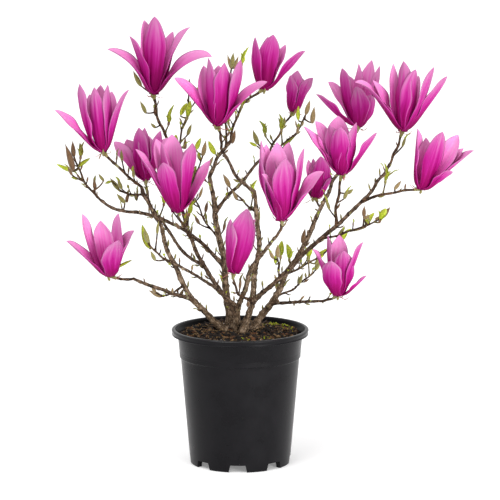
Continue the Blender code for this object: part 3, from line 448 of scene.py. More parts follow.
# %% The blooms' plan
BLOOMS = (
    ("spray_bloom_01", 2, 0, (
        (-67, -5, 67, 50, 32, 35), (-34, -22, 88, 12, 30, 20), (-14, 10, 108, -14, 32, 25),
        (2, -9, 115, -12, 38, 0), (28, 24, 90, 0, 32, 10), (53, 6, 98, 28, 28, 30),
        (85, -8, 56, 62, 32, 40), (6, 38, 84, 10, 32, 0), (-16, 30, 78, 5, 28, 0))),
    ("spray_bloom_02", -5, 3, (
        (-67, -12, 62, 12, 28, 25), (-32, -8, 99, -28, 32, -25), (-11, -14, 95, -10, 26, -10),
        (-3, 8, 96, -8, 30, 0), (8, -8, 98, -12, 30, -10), (38, -10, 91, 18, 30, -10),
        (-20, 26, 80, 0, 30, 10), (12, 28, 84, 5, 30, 0))),
    ("spray_bloom_03", -3, 0, (
        (-46, 8, 56, 8, 32, 30), (-28, 20, 58, 0, 32, 25), (-9, -10, 79, -12, 28, -10),
        (-1, -2, 78, -12, 30, 0), (22, -6, 74, -5, 28, -25), (33, 18, 60, 5, 24, 25),
        (4, 26, 62, 0, 30, 0))),
    ("spray_bloom_04", -4, 4, (
        (-59, -16, 93, 10, 32, 25), (-31, 12, 104, -6, 32, 25), (-22, -4, 100, -12, 30, -25),
        (-9, 28, 108, -4, 42, 0), (21, -10, 101, -18, 42, -25), (-19, -44, 78, -12, 32, 0),
        (46, 8, 74, -4, 28, 30), (14, 30, 88, 5, 32, 0))),
    ("spray_bloom_05", -7, 4, (
        (-62, -14, 54, 4, 34, 25), (-40, 4, 90, -28, 24, 25), (-14, 2, 81, -22, 32, 25),
        (11, 16, 89, -8, 34, 0), (34, 4, 66, 16, 32, 20), (12, -38, 59, -20, 40, 0),
        (-10, 30, 64, 0, 30, 0))),
    ("spray_bloom_06", 1, 2, (
        (-62, 6, 69, 30, 28, 35), (-20, 14, 86, -25, 32, 25), (-13, -8, 99, -14, 34, -25),
        (1, 24, 85, 0, 32, 0), (10, -12, 93, -8, 40, -10), (33, -2, 96, -26, 40, -25),
        (71, -8, 65, 32, 30, 25), (20, 28, 74, 6, 30, 10))),
    ("spray_bloom_07", 8, -6, (
        (-13, -8, 80, -24, 32, 20), (6, 14, 78, -4, 30, 0), (14, -2, 83, -6, 34, -25),
        (32, 10, 67, -4, 28, 25), (61, -5, 59, 8, 24, -25), (4, 26, 62, 0, 28, 0))),
    ("spray_bloom_08", 9, -8, (
        (-4, -4, 57, -6, 24, -10), (7, 0, 64, -10, 28, -25), (30, -2, 53, 14, 24, -25),
        (4, 12, 52, 0, 24, 0), (16, 10, 50, 4, 22, 25))),
    ("spray_bloom_09", 2, -2, (
        (-63, -12, 51, -6, 28, -25), (-45, 6, 67, 8, 32, 30), (-25, -6, 89, -14, 34, -25),
        (0, 6, 94, -6, 28, 0), (20, 20, 98, -4, 32, 10), (31, 4, 91, -2, 24, 25),
        (-4, -30, 64, -14, 32, 0), (18, -12, 50, -5, 30, -25), (-14, 26, 74, 0, 30, 0))),
    ("spray_bloom_10", 4, 0, (
        (-70, -22, 74, 28, 34, 25), (-44, -6, 75, 10, 32, 30), (-14, 6, 98, -22, 30, 25),
        (0, -6, 103, -10, 34, 0), (17, -16, 92, -6, 34, -10), (44, -4, 94, -6, 34, -25),
        (63, -4, 81, -8, 30, -25), (2, 30, 84, 4, 32, 0), (24, 26, 78, 4, 30, 10))),
    ("spray_bloom_11", 16, 2, (
        (-5, -2, 88, -12, 32, 20), (30, -14, 85, -12, 32, -20), (54, 14, 77, -2, 34, 25),
        (61, 4, 59, 4, 22, 25), (75, -4, 57, 14, 30, 20), (45, -16, 28, 8, 22, -25),
        (8, 16, 73, 0, 30, 0), (26, 30, 66, 6, 30, 10))),
    ("spray_bloom_12", 0, 3, (
        (-55, 4, 69, 6, 24, 30), (-38, 18, 75, 2, 34, 25), (-19, -8, 73, -10, 34, -25),
        (-5, 24, 82, -4, 40, 0), (20, -4, 76, -16, 38, -25), (49, -6, 62, -4, 28, -25),
        (-4, -22, 72, -10, 34, 0), (18, 26, 62, 4, 30, 0))),
    ("spray_bloom_13", 7, -4, (
        (-9, 6, 57, -6, 22, 25), (-2, 14, 58, -2, 20, 0), (9, -6, 64, -16, 32, -25),
        (14, 4, 56, -8, 24, 25), (22, 8, 49, 0, 24, 25), (27, -6, 32, 4, 18, -25))),
    ("spray_bloom_14", -2, 5, (
        (-29, -2, 114, -28, 32, -25), (-22, 8, 107, -12, 30, 25), (-7, 8, 110, -6, 38, 10),
        (10, 22, 108, -4, 38, 0), (31, -2, 103, -18, 38, -25), (-28, -22, 69, 24, 34, 50),
        (58, -12, 71, 18, 32, 30), (4, -22, 92, -10, 42, 0), (-10, 32, 84, 4, 32, 0))),
    ("spray_bloom_15", 11, 4, (
        (-4, -10, 80, -20, 38, -5), (20, -15, 95, -12, 42, 0), (18, 8, 92, -8, 36, 10),
        (31, 1, 78, -4, 28, 0), (6, 18, 77, -10, 36, 0))),
    ("spray_bloom_16", 5, 4, (
        (-36, -6, 69, 10, 24, 25), (-14, 0, 88, -16, 28, -25), (3, 16, 86, -8, 34, 0),
        (-10, -34, 57, -12, 34, 0), (36, 0, 78, 6, 38, -25), (8, -16, 69, -6, 34, 0),
        (41, -6, 31, 4, 18, -20), (9, 27, 67, 4, 30, 0))),
)
PETAL_ROOT_OFFSET = 1.8 * MM
PETAL_FLARE = 8.0 * MM
PETAL_FLARE_SHARE = 0.06
PETAL_ROOT_WIDTH = 0.05
PETAL_TIP_POWER = 0.7
PETAL_WIDEST = 0.36
SMALLEST_CURL = 0.01


def bloom_axes(lean_right, lean_front):
    """A bloom's own directions: across, back and up its axis."""
    right, front = math.radians(lean_right), math.radians(lean_front)
    up = unit(np.array([math.sin(right), -math.sin(front), math.cos(right) * math.cos(front)]))
    across = unit(np.array([1.0, 0.0, 0.0]) - up * up[0])
    return across, np.cross(up, across), up


def petal_plan(up, petals):
    """Each petal's direction, opening, curl, length and width, as the solids have them."""
    plan = []
    for right, back, above, curl, width, roll in petals:
        tip = np.array([right, back, above]) * MM
        rise = tip.dot(up)
        sideways = tip - up * rise
        reach = float(np.linalg.norm(sideways)) - PETAL_ROOT_OFFSET - PETAL_FLARE
        curl = math.radians(curl) or SMALLEST_CURL
        plan.append({"out": unit(sideways), "rise": rise, "reach": reach, "curl": curl,
                     "opening": math.atan2(reach, rise), "width": width * MM,
                     "length": math.hypot(reach, rise) * curl / 2.0 / math.sin(curl / 2.0),
                     "roll": math.radians(roll) * (1.0 if sideways[0] < 0.0 else -1.0)})
    return plan


def root_reach(share):
    """How far out the flat root of a petal has come."""
    return PETAL_ROOT_OFFSET + PETAL_FLARE * (1.0 - np.exp(-share / PETAL_FLARE_SHARE))


def solid_petal_point(base, up, petal, share):
    """The solid petal's rib, which side shoots keep clear of."""
    first = petal["opening"] - petal["curl"] / 2.0
    now = first + petal["curl"] * share
    rise = (math.sin(now) - math.sin(first)) / petal["curl"] * petal["length"]
    reach = (math.cos(first) - math.cos(now)) / petal["curl"] * petal["length"]
    return base + up * rise + petal["out"] * (reach + root_reach(share))


def solid_petal_width(petal, share):
    rise = share + PETAL_ROOT_WIDTH
    return petal["width"] * rise * max(0.0, 1.0 - share) ** PETAL_TIP_POWER / PETAL_WIDEST


print("petals:", sum(len(petals) for *_, petals in BLOOMS))

# %% [markdown]
# Side shoots
# Magnolia twigs carry a shoot at each node, and each node is turned on from the last by about 137
# degrees. The rule is the solids' own, with the same seeds, so it gives the same shoots. A shoot
# that would touch wood or a petal is skipped, for which the space that is taken is kept as a list
# of round segments.

# %% Side shoots
NODE_SPACING = 22.0 * MM
SPACING_SPREAD = (0.85, 1.2)
BUD_LENGTH = 19.0 * MM
BUD_SHARES = (0.75, 1.0)
BUD_THICKNESS = 6.6 * MM
LEAF_LENGTH = 27.0 * MM
LEAF_CHANCE = 0.3
SHOOT_THICKNESS = 2.2 * MM
SHOOT_REACH = (9.0 * MM, 26.0 * MM)
SHOOT_TURN = math.radians(137.5)
SHOOT_WAY = (0.75, 0.5, 0.35)  # out of the limb, on along it, and up
BUD_WAY = (0.6, 0.8)  # on along the shoot, and up
SHOOT_HINT = np.array([0.3, 0.2, 0.9])
FIRST_SHOOT = 12.0 * MM
LAST_SHOOT_BELOW_BLOOM = 16.0 * MM
LAST_SHOOT_BELOW_BUD = 6.0 * MM
CLEARANCE = 2.5 * MM
UPWARDS = np.array([0.0, 0.0, 1.0])
LIMB_PARTS = 12
PETAL_PARTS = 6
TINY = 1e-12


class TakenSpace:
    """Round segments that already hold wood or petals."""

    def __init__(self):
        self.starts, self.ends, self.radii, self.owners = [], [], [], []

    def add(self, start, end, radius, owner):
        self.starts.append(start)
        self.ends.append(end)
        self.radii.append(radius)
        self.owners.append(owner)

    def is_free(self, points, radius, owner, clearance=CLEARANCE):
        """Whether balls of a radius at these points clear all that others hold."""
        starts = np.array(self.starts)
        along = np.array(self.ends) - starts
        squared = (along ** 2).sum(axis=1) + TINY
        others = np.array([name != owner for name in self.owners])
        reach = np.array(self.radii) + radius + clearance
        for point in points:
            offset = point - starts
            share = np.clip((offset * along).sum(axis=1) / squared, 0.0, 1.0)
            away = np.linalg.norm(offset - along * share[:, None], axis=1)
            if np.any((away < reach) & others):
                return False
        return True


def claim_plant():
    """Take the space of every limb and every petal of the solids."""
    space = TakenSpace()
    for name, limb in limbs.items():
        places = limb_point(limb, np.arange(LIMB_PARTS + 1) / LIMB_PARTS)
        for index in range(LIMB_PARTS):
            radius = float(limb_radius(limb, index / LIMB_PARTS))
            space.add(places[index], places[index + 1], radius, name)
    for name, *lean, petals in BLOOMS:
        up = bloom_axes(*lean)[2]
        for petal in petal_plan(up, petals):
            places = [solid_petal_point(limbs[name]["tip"], up, petal, index / PETAL_PARTS)
                      for index in range(PETAL_PARTS + 1)]
            for index in range(PETAL_PARTS):
                half = solid_petal_width(petal, (index + 0.5) / PETAL_PARTS) / 2.0
                space.add(places[index], places[index + 1], half, name + " bloom")
    return space


def across_line(direction):
    """Two directions that are square to a line and to each other."""
    side = unit(SHOOT_HINT - direction * SHOOT_HINT.dot(direction))
    return side, np.cross(direction, side)


def around(side, other, turn):
    """The direction that is a turn away from side, towards other."""
    return side * math.cos(turn) + other * math.sin(turn)


def shoot_directions(limb, share, turn, way):
    """Which side of a limb a shoot stands on, and which way it heads."""
    direction = limb_direction(limb, share)
    out = around(*across_line(direction), turn)
    return out, unit(out * way[0] + direction * way[1] + UPWARDS * way[2])


def shoots_of(limb, has_bloom):
    """A twig's side shoots, as the solids have them."""
    seed = random.Random(limb["name"] + " shoots")
    last = limb["length"] - (LAST_SHOOT_BELOW_BLOOM if has_bloom else LAST_SHOOT_BELOW_BUD)
    turn = seed.uniform(0.0, 2.0 * math.pi)
    climbed = FIRST_SHOOT
    found = []
    while climbed < last:
        share = climbed / limb["length"]
        out, heading = shoot_directions(limb, share, turn, SHOOT_WAY)
        reach = seed.uniform(*SHOOT_REACH)
        kind = "leaf" if seed.random() < LEAF_CHANCE else "bud"
        end = LEAF_LENGTH if kind == "leaf" else BUD_LENGTH * seed.uniform(*BUD_SHARES)
        foot = limb_point(limb, share)
        tip = foot + heading * reach
        up = unit(heading * BUD_WAY[0] + UPWARDS * BUD_WAY[1])
        probes = [foot + (tip - foot) * 0.6, tip, tip + up * end * 0.5, tip + up * end]
        if space.is_free(probes, BUD_THICKNESS / 2.0, limb["name"]):
            found.append({"foot": foot, "tip": tip, "up": up, "kind": kind, "end": end,
                          "out": out})
            space.add(foot + (tip - foot) * 0.4, tip, SHOOT_THICKNESS, limb["name"] + " shoot")
            space.add(tip, tip + up * end, BUD_THICKNESS / 2.0, limb["name"] + " shoot")
        turn += SHOOT_TURN
        climbed += NODE_SPACING * seed.uniform(*SPACING_SPREAD)
    return found


space = claim_plant()
shoots = {name: shoots_of(limbs[name], name.startswith("spray_bloom")) for name in SPRAY_NAMES}
print("side shoots:", sum(len(found) for found in shoots.values()))

# %% [markdown]
# Short spurs
# Between the larger shoots, real magnolia wood bears many short spurs with a small bud, down to
# the lower boughs. They are too fine for the solids, so they are only here: every 8 mm or so on
# stems, boughs and twigs, a spur of a few millimetres wherever it touches nothing.

# %% Short spurs
SPUR_SPACING = 8.5 * MM
SPUR_SPREAD = (0.6, 1.5)
SPUR_REACH = (0.8 * MM, 6.5 * MM)
SPUR_BUD_LENGTH = (3.5 * MM, 11.0 * MM)
SPUR_WAY = (0.8, 0.5, 0.25)
SPUR_BUD_WAY = (0.8, 0.45)
SPUR_SPACE = 1.5 * MM
SPUR_CLEARANCE = 1.0 * MM
SPUR_CHANCE = 0.75
FREE_OF_SOIL = 38.0 * MM
FREE_OF_FORK = 8.0 * MM
FREE_OF_TIP = 9.0 * MM


def spurs_of(limb):
    """A limb's spurs, which keep off the soil, the fork and the tip."""
    seed = random.Random(limb["name"] + " spurs")
    turn = seed.uniform(0.0, 2.0 * math.pi)
    climbed = FREE_OF_SOIL if limb["parent"] is None else FREE_OF_FORK
    found = []
    while climbed < limb["length"] - FREE_OF_TIP:
        share = climbed / limb["length"]
        out, heading = shoot_directions(limb, share, turn, SPUR_WAY)
        reach = float(limb_radius(limb, share)) + seed.uniform(*SPUR_REACH)
        end = seed.uniform(*SPUR_BUD_LENGTH)
        foot = limb_point(limb, share)
        tip = foot + heading * reach
        up = unit(heading * SPUR_BUD_WAY[0] + UPWARDS * SPUR_BUD_WAY[1])
        probes = [tip, tip + up * end]
        wanted = seed.random() < SPUR_CHANCE
        if wanted and space.is_free(probes, SPUR_SPACE, limb["name"], SPUR_CLEARANCE):
            found.append({"foot": foot, "tip": tip, "up": up, "kind": "spur", "end": end,
                          "out": out})
            space.add(foot, tip + up * end, SPUR_SPACE, limb["name"] + " spur")
        turn += SHOOT_TURN
        climbed += SPUR_SPACING * seed.uniform(*SPUR_SPREAD)
    return found


spurs = {name: spurs_of(limb) for name, limb in limbs.items()}
print("spurs:", sum(len(found) for found in spurs.values()))

# %% [markdown]
# Buds and leaves placed one by one
# The rules above let buds fall where they may. A viewer knows this plant by some large ones, so
# these are listed one by one. Each row has the kind, its colour's number, its foot and its tip as
# seen from the front, and its width. A place further back looks higher from the camera, so each
# takes its depth from the limb that looks nearest, and a short stalk joins it to that limb.

# %% Buds and leaves placed one by one
DEPTH_RISE = math.tan(CAMERA_ELEVATION)
SHORTEST_STALK = 0.5 * MM
LONGEST_STALK = 24.0 * MM
TOWARDS_CAMERA = np.array([0.25, -1.0, 0.1])
SHARES_LOOKED_AT = np.linspace(0.05, 1.0, 60)
PLACED = (  # kind, colour, foot right and up, tip right and up, width, in millimetres
    ("bud", 2, -240, 431, -248, 471, 9.5), ("leaf", 1, -241, 429, -264, 440, 6.5),
    ("leaf", 0, -234, 435, -215, 449, 6.5), ("leaf", 0, -232, 418, -243, 421, 4.5),
    ("bud", 0, -13, 584, -19, 605, 5.5), ("bud", 0, -9, 584, -2, 603, 5.5),
    ("leaf", 1, -87, 513, -77, 533, 8.0), ("leaf", 1, -64, 462, -57, 480, 8.0),
    ("leaf", 1, -36, 457, -47, 478, 9.0), ("leaf", 0, -58, 447, -61, 460, 6.0),
    ("bud", 2, -80, 465, -81, 482, 5.5), ("bud", 1, -138, 518, -145, 537, 6.0),
    ("bud", 1, -124, 496, -132, 503, 4.5), ("bud", 2, -12, 475, -7, 496, 7.0),
    ("bud", 1, 26, 475, 17, 496, 7.5), ("leaf", 1, 25, 471, 13, 477, 5.0),
    ("bud", 1, -166, 384, -179, 397, 6.5), ("bud", 2, -163, 385, -163, 398, 5.0),
    ("leaf", 0, -128, 316, -138, 351, 11.5), ("bud", 1, -145, 558, -158, 580, 7.0),
    ("bud", 1, -129, 547, -134, 559, 6.5), ("leaf", 0, -176, 288, -153, 301, 4.5),
    ("leaf", 1, 86, 508, 86, 530, 7.0), ("bud", 2, 90, 502, 99, 521, 7.5),
    ("bud", 0, 106, 505, 109, 530, 8.0), ("bud", 0, 67, 477, 74, 496, 6.5),
    ("bud", 1, 154, 397, 164, 403, 5.5), ("bud", 0, 221, 403, 231, 416, 5.5),
    ("bud", 0, 193, 359, 208, 363, 5.5), ("bud", 0, 177, 360, 187, 365, 5.0),
    ("bud", 2, 91, 326, 96, 348, 7.0), ("leaf", 1, 51, 294, 55, 312, 7.5),
    ("leaf", 0, -186, 415, -195, 412, 4.5), ("bud", 1, -196, 416, -205, 426, 4.5))


def nearest_wood(right, above):
    """The place on a limb that looks nearest to a place seen from the front."""
    places = np.concatenate([limb_point(limb, SHARES_LOOKED_AT) for limb in limbs.values()])
    seen = places[:, 2] + places[:, 1] * DEPTH_RISE
    return places[int(np.argmin(np.hypot(places[:, 0] - right, seen - above)))]


def place_by_hand():
    found = []
    for kind, slot, right, above, tip_right, tip_above, width in PLACED:
        wood = nearest_wood(right * MM, above * MM)
        foot = np.array([right * MM, wood[1], above * MM - wood[1] * DEPTH_RISE])
        way = np.array([tip_right - right, 0.0, tip_above - above]) * MM
        if SHORTEST_STALK < np.linalg.norm(foot - wood) < LONGEST_STALK:
            found.append({"foot": wood, "tip": foot, "up": unit(way), "kind": kind,
                          "end": float(np.linalg.norm(way)), "out": TOWARDS_CAMERA,
                          "width": width * MM, "slot": slot})
    return found


placed = place_by_hand()
print("placed by hand:", len(placed), "of", len(PLACED))

# %% [markdown]
# Magnolia bark
# Young magnolia bark is thin and hard: grey-brown and matt on the stems, darker and redder on this
# year's twigs. What shows from a step away is its relief, so that is in the mesh. The material adds
# the rest: cloudy patches a few millimetres wide, pale pores about one every three millimetres,
# and fine wrinkles that run along the wood, darkened as painted shade in their creases. So that
# they follow every limb, its points carry marks that say where they would lie if it stood upright,
# and the wrinkles are drawn long on those. Dry bark scatters light much as wood does, so its
# roughness is high and its IOR is 1.5.

# %% Magnolia bark
PATCH_SIZE = 7.0 * MM
PORE_SPACING = 3.2 * MM
PORE_EDGE = (0.20, 0.12)
WRINKLE_SPACING = 1.4 * MM  # real ones are half as wide, which is too fine to show
WRINKLE_STRETCH = (1.0, 1.0, 0.14)  # seven times as long as they are wide
# how strongly the painted shade in the wrinkles darkens the bark
CREASE_SHADE_STRENGTH = 0.75
BARK_RELIEF = 0.35 * MM


def bark(name, dark, middle, light, pore):
    made, tree, shader = new_material(name, middle, roughness=0.78, ior=1.5,
                                      Specular_IOR_Level=0.2)
    place = node(tree, "TexCoord").outputs["Object"]
    patches = node(tree, "TexNoise", {"Scale": 1.0 / PATCH_SIZE, "Detail": 5.0, "Roughness": 0.65},
                   {"Vector": place})
    colours = node(tree, "ValToRGB", links={"Fac": patches.outputs["Fac"]},
                   stops=[(0.32, dark), (0.5, middle), (0.68, light)])
    upright = {axis: node(tree, "Attribute", attribute_name="grain_" + axis).outputs["Fac"]
               for axis in "XYZ"}
    log = node(tree, "CombineXYZ", links=upright)
    long_way = node(tree, "VectorMath", {1: WRINKLE_STRETCH}, {0: log.outputs["Vector"]},
                    operation="MULTIPLY")
    wrinkles = node(tree, "TexNoise", {"Scale": 1.0 / WRINKLE_SPACING, "Detail": 3.0},
                    {"Vector": long_way.outputs["Vector"]})
    # the wrinkles' dark stop is painted shade in the bark's fine creases
    crease_shade = node(tree, "ValToRGB", links={"Fac": wrinkles.outputs["Fac"]},
                  stops=[(0.38, "#3A3029"), (0.56, "#FFFFFF")])
    wrinkled = node(tree, "Mix", {0: CREASE_SHADE_STRENGTH},
                    {6: colours.outputs["Color"], 7: crease_shade.outputs["Color"]},
                    data_type="RGBA", blend_type="MULTIPLY")
    cells = node(tree, "TexVoronoi", {"Scale": 1.0 / PORE_SPACING}, {"Vector": place})
    pores = node(tree, "MapRange", {"From Min": PORE_EDGE[0], "From Max": PORE_EDGE[1]},
                 {"Value": cells.outputs["Distance"]})
    spotted = node(tree, "Mix", {7: linear(pore)},
                   {0: pores.outputs["Result"], 6: wrinkled.outputs[2]}, data_type="RGBA")
    height = node(tree, "Math", {1: 0.5},
                  {0: pores.outputs["Result"], 2: wrinkles.outputs["Fac"]},
                  operation="MULTIPLY_ADD")
    bump = node(tree, "Bump", {"Strength": 0.7, "Distance": BARK_RELIEF},
                {"Height": height.outputs["Value"]})
    feed(tree, shader, Base_Color=spotted.outputs[2], Normal=bump.outputs["Normal"])
    return made


old_bark = bark("old_magnolia_bark", "#2B1F16", "#68543F", "#9F8A74", "#B8A68F")
bough_bark = bark("grey_brown_magnolia_bark", "#22170F", "#594534", "#8D7763", "#AE9C87")
twig_bark = bark("red_brown_magnolia_bark", "#170D07", "#452F1F", "#78593E", "#A28A68")
green_bark = bark("olive_shoot_bark", "#3A3119", "#6A5D2D", "#93874A", "#ACA066")
print("bark finishes: 4, wrinkles in mm:", round(WRINKLE_SPACING / MM, 1))

# %% [markdown]
# The wood, with the bark's relief
# A stem or bough is a tube with a ring every millimetre or so. The tube's radius is then changed
# ring by ring: low wrinkles along the wood, swollen nodes where a leaf once sat, and the fine
# raised rings that each year's bud scales left. A collar thickens each bough where it leaves its
# parent. All of it is one joined mesh, which stands for the stems' and the boughs' solids. Each
# point is also marked with its place on the upright limb, which the bark's wrinkles need.

# %% The wood, with the bark's relief
RING_STEP = 1.1 * MM
WOOD_SIDES = 20
SUNK_FOOT = 1.5 * MM
COLLAR = 0.55
COLLAR_REACH = 4.0 * MM
ZIGZAG = 0.7 * MM
ZIGZAG_SHARE = 0.25
WRINKLE_WAVES = (2, 3, 5, 7)
WRINKLE_HEIGHT = 0.035
WRINKLE_DRIFT = (20, 60)  # in millimetres
SWELLING_HEIGHT = 0.03
SWELLING_LENGTH = (4, 7)  # in millimetres
FIRST_NODE = (6, 14)  # in millimetres
LAST_NODE = 3 * MM
NODE_STEPS = (0.35, 0.8)
NODE_HEIGHT = 0.50
NODE_SIZES = (0.4, 1.0)
NODE_REACH = 2.2 * MM
NODE_BACK = 0.35  # how high a node stands on its far side
SCAR_HEIGHT = 0.12
SCAR_REACH = 0.8 * MM
SCAR_START, SCAR_STEP, MOST_SCARS = 2.6, 1.7, 3  # the first two in millimetres
A_TURN = 6.28


def wood_line(limb, step):
    """Places along a limb, its radii and how far along each place is. It bends at its nodes."""
    sunk_foot = limb["runs_on"] or limb["parent"] is None
    start = -SUNK_FOOT / limb["length"] if sunk_foot else 0.0
    share = np.linspace(start, 1.0, int(limb["length"] / step) + 2)
    climbed = share * limb["length"]
    seed = random.Random(limb["name"] + " zigzag")
    out = across_line(limb_direction(limb, 0.5))[0]
    wave = 2.0 * np.abs((climbed / NODE_SPACING / 2.0 + seed.random()) % 1.0 - 0.5) - 0.5
    size = min(ZIGZAG, ZIGZAG_SHARE * limb["radius"][1])
    off = wave * 2.0 * size * np.clip(np.sin(np.pi * share), 0.0, 1.0)
    radii = limb_radius(limb, share)
    if limb["parent"] is not None and not limb["runs_on"]:
        sunk = float(min(limb["parent"]["radius"]))
        radii = radii * (1.0 + COLLAR * np.exp(-np.maximum(climbed - sunk, 0.0) / COLLAR_REACH))
    return limb_point(limb, share) + out * off[:, None], radii, climbed


def bulge(places, middle, reach):
    """A round hump, one high in its middle."""
    return np.exp(-((places - middle) / reach) ** 2)


def bark_relief(limb, climbed, sides):
    """The share by which each point of the tube stands out of its round."""
    seed = random.Random(limb["name"] + " bark")
    angle = (2.0 * np.pi * np.arange(sides) / sides)[None, :]
    relief = np.zeros((len(climbed), sides))
    for waves in WRINKLE_WAVES:
        drift = climbed[:, None] / (seed.uniform(*WRINKLE_DRIFT) * MM)
        relief += WRINKLE_HEIGHT * np.sin(waves * angle + drift + seed.uniform(0, A_TURN))
    swelling = np.sin(climbed / (seed.uniform(*SWELLING_LENGTH) * MM))
    relief += SWELLING_HEIGHT * swelling[:, None]
    middle, turn = seed.uniform(*FIRST_NODE) * MM, seed.uniform(0, A_TURN)
    while middle < limb["length"] - LAST_NODE:
        lump = bulge(climbed, middle, NODE_REACH)[:, None]
        facing = NODE_BACK + (1.0 - NODE_BACK) * np.clip(np.cos(angle - turn), 0.0, 1.0) ** 2
        relief += NODE_HEIGHT * seed.uniform(*NODE_SIZES) * lump * facing
        for line in range(seed.randint(0, MOST_SCARS)):
            ring = middle + (SCAR_START + SCAR_STEP * line) * MM
            relief += SCAR_HEIGHT * bulge(climbed, ring, SCAR_REACH)[:, None]
        middle += NODE_SPACING * seed.uniform(*NODE_STEPS)
        turn += SHOOT_TURN
    return relief


def grain_marks(climbed, radii, sides):
    """Where each point of a tube would lie if the limb stood upright."""
    angle = 2.0 * np.pi * np.arange(sides) / sides
    return {"grain_X": np.concatenate([np.outer(radii, np.cos(angle)).ravel(), (0.0, 0.0)]),
            "grain_Y": np.concatenate([np.outer(radii, np.sin(angle)).ravel(), (0.0, 0.0)]),
            "grain_Z": np.concatenate([np.repeat(climbed, sides), climbed[[0, -1]]])}


def add_wood(heap, limb, step, sides, slot):
    places, radii, climbed = wood_line(limb, step)
    relief = 1.0 + bark_relief(limb, climbed, sides)
    heap.add(tube(places, radii[:, None] * relief, sides), slot, grain_marks(climbed, radii, sides))


wood = Heap("stems_and_boughs")
for name in STEM_NAMES:
    add_wood(wood, limbs[name], RING_STEP, WOOD_SIDES, 0)
for name in BOUGH_NAMES:
    add_wood(wood, limbs[name], RING_STEP, WOOD_SIDES, 1)
wood.piece([old_bark, bough_bark], "bark", STEM_NAMES + BOUGH_NAMES)

# %% [markdown]
# The twigs
# The twigs of the sprays are drawn like the boughs, only finer, with their side shoots and spurs.
# They form one piece, which stands for the thirty-one sprays together with the blooms, buds and
# leaves of the next steps.

# %% The twigs
TWIG_STEP = 1.2 * MM
TWIG_SIDES = 12
SHOOT_RINGS = 12
SHOOT_SIDES = 8
SHOOT_BEND = 0.35
SHOOT_TAPER = 0.6
SHOOT_SWELLINGS = ((0.5, 0.0, 0.16), (0.25, 0.93, 0.07))  # height, place, reach
RIPPLE_HEIGHT, RIPPLES = 0.08, 19.0
SHOOT_RADII = (1.35 * MM, 1.0 * MM)
SPUR_RADII = (1.1 * MM, 0.85 * MM)
STALK_RADII = (1.3 * MM, 1.0 * MM)


def add_shoot(heap, shoot, foot_radius, tip_radius):
    """A short curved shoot, thicker at its foot and at the node under its bud."""
    share = np.linspace(0.0, 1.0, SHOOT_RINGS)
    reach = np.linalg.norm(shoot["tip"] - shoot["foot"])
    bend = shoot["up"] - unit(shoot["tip"] - shoot["foot"])
    line = shoot["foot"] + (shoot["tip"] - shoot["foot"]) * share[:, None]
    line = line + bend * (SHOOT_BEND * reach * (share ** 2 - share))[:, None]
    radii = foot_radius + (tip_radius - foot_radius) * share ** SHOOT_TAPER
    radii = radii * (1.0 + sum(height * bulge(share, *place) for height, *place in SHOOT_SWELLINGS))
    radii = radii * (1.0 + RIPPLE_HEIGHT * np.sin(share * RIPPLES + shoot["end"] / MM))
    slot = 1 if shoot["kind"] == "leaf" else 0
    heap.add(tube(line, radii, SHOOT_SIDES), slot, grain_marks(share * reach, radii, SHOOT_SIDES))


twigs = Heap("twigs")
for name in SPRAY_NAMES:
    add_wood(twigs, limbs[name], TWIG_STEP, TWIG_SIDES, 0)
    for shoot in shoots[name]:
        add_shoot(twigs, shoot, *SHOOT_RADII)
for found in spurs.values():
    for spur in found:
        add_shoot(twigs, spur, *SPUR_RADII)
for growth in placed:
    add_shoot(twigs, growth, *STALK_RADII)
twigs.piece([twig_bark, green_bark], "bark", SPRAY_NAMES)

# %% [markdown]
# Blades: petals, leaves and bracts
# A petal, a leaf and a dry bract are the same kind of thing: a thin blade round a curved rib. Each
# is a loft whose rings are very flat: over the outer face, round the edge and back over the inner
# face. So every blade has a real thickness, closed edges and two faces that can differ in colour.
# The rib is found by adding up small steps, each at its own angle to the stalk.

# %% Blades: petals, leaves and bracts
def curved_rib(base, out, up, angles, length):
    """A rib that leaves base and whose angle from up, towards out, is given at each place."""
    step = length / (len(angles) - 1)
    between = (angles[1:] + angles[:-1]) / 2.0
    rise = np.concatenate([[0.0], np.cumsum(np.cos(between))]) * step
    reach = np.concatenate([[0.0], np.cumsum(np.sin(between))]) * step
    rib = base + up * rise[:, None] + out * reach[:, None]
    inward = up * np.sin(angles)[:, None] - out * np.cos(angles)[:, None]
    return rib, inward


def blade(rib, side, inward, half, cup, thickness, columns, lift=0.0):
    """A thin closed blade, with marks for how far along, how far across and which face."""
    across = np.linspace(-1.0, 1.0, columns)
    order = np.concatenate([np.arange(columns), np.arange(columns - 2, 0, -1)])
    face = np.concatenate([np.zeros(columns), np.ones(columns - 2)])
    face[[0, columns - 1]] = 0.5
    bend = across[None, :] * cup[:, None]
    sideways = half[:, None] * np.sin(bend) / cup[:, None]
    inwards = half[:, None] * (1.0 - np.cos(bend)) / cup[:, None] + lift
    depth = thickness / 2.0 * (1.0 - across[order] ** 4) * (2.0 * face - 1.0)
    rings = (rib[:, None] + side[:, None] * sideways[:, order, None]
             + inward[:, None] * (inwards[:, order] + depth[None, :])[..., None])
    count = len(rib)
    ends = np.array([0.0, 1.0])
    marks = {"along": np.concatenate([np.repeat(np.linspace(0, 1, count), len(order)), ends]),
             "across": np.concatenate([np.tile(across[order], count), 0.0 * ends]),
             "inner_face": np.concatenate([np.tile(face, count), 0.5 + 0.0 * ends])}
    return loft(rings), marks


# %% [markdown]
# Petal tissue
# Magnolia petals are thick and satiny. The outer face is deep magenta at the root and pales to
# pink at the tip and the margins. The inner face is much paler: partly its own pale pink, and
# partly painted light, for the light that shines through the thin petal into its shaded side.
# Fine veins run from root to tip. The marks on the blades say how far along, how far across and
# which face a point is on, so two colour ramps and a mix give that, and a noise stretched along
# the petal draws the veins.
# Wet living tissue has an IOR of about 1.4, and a little light passes through it.

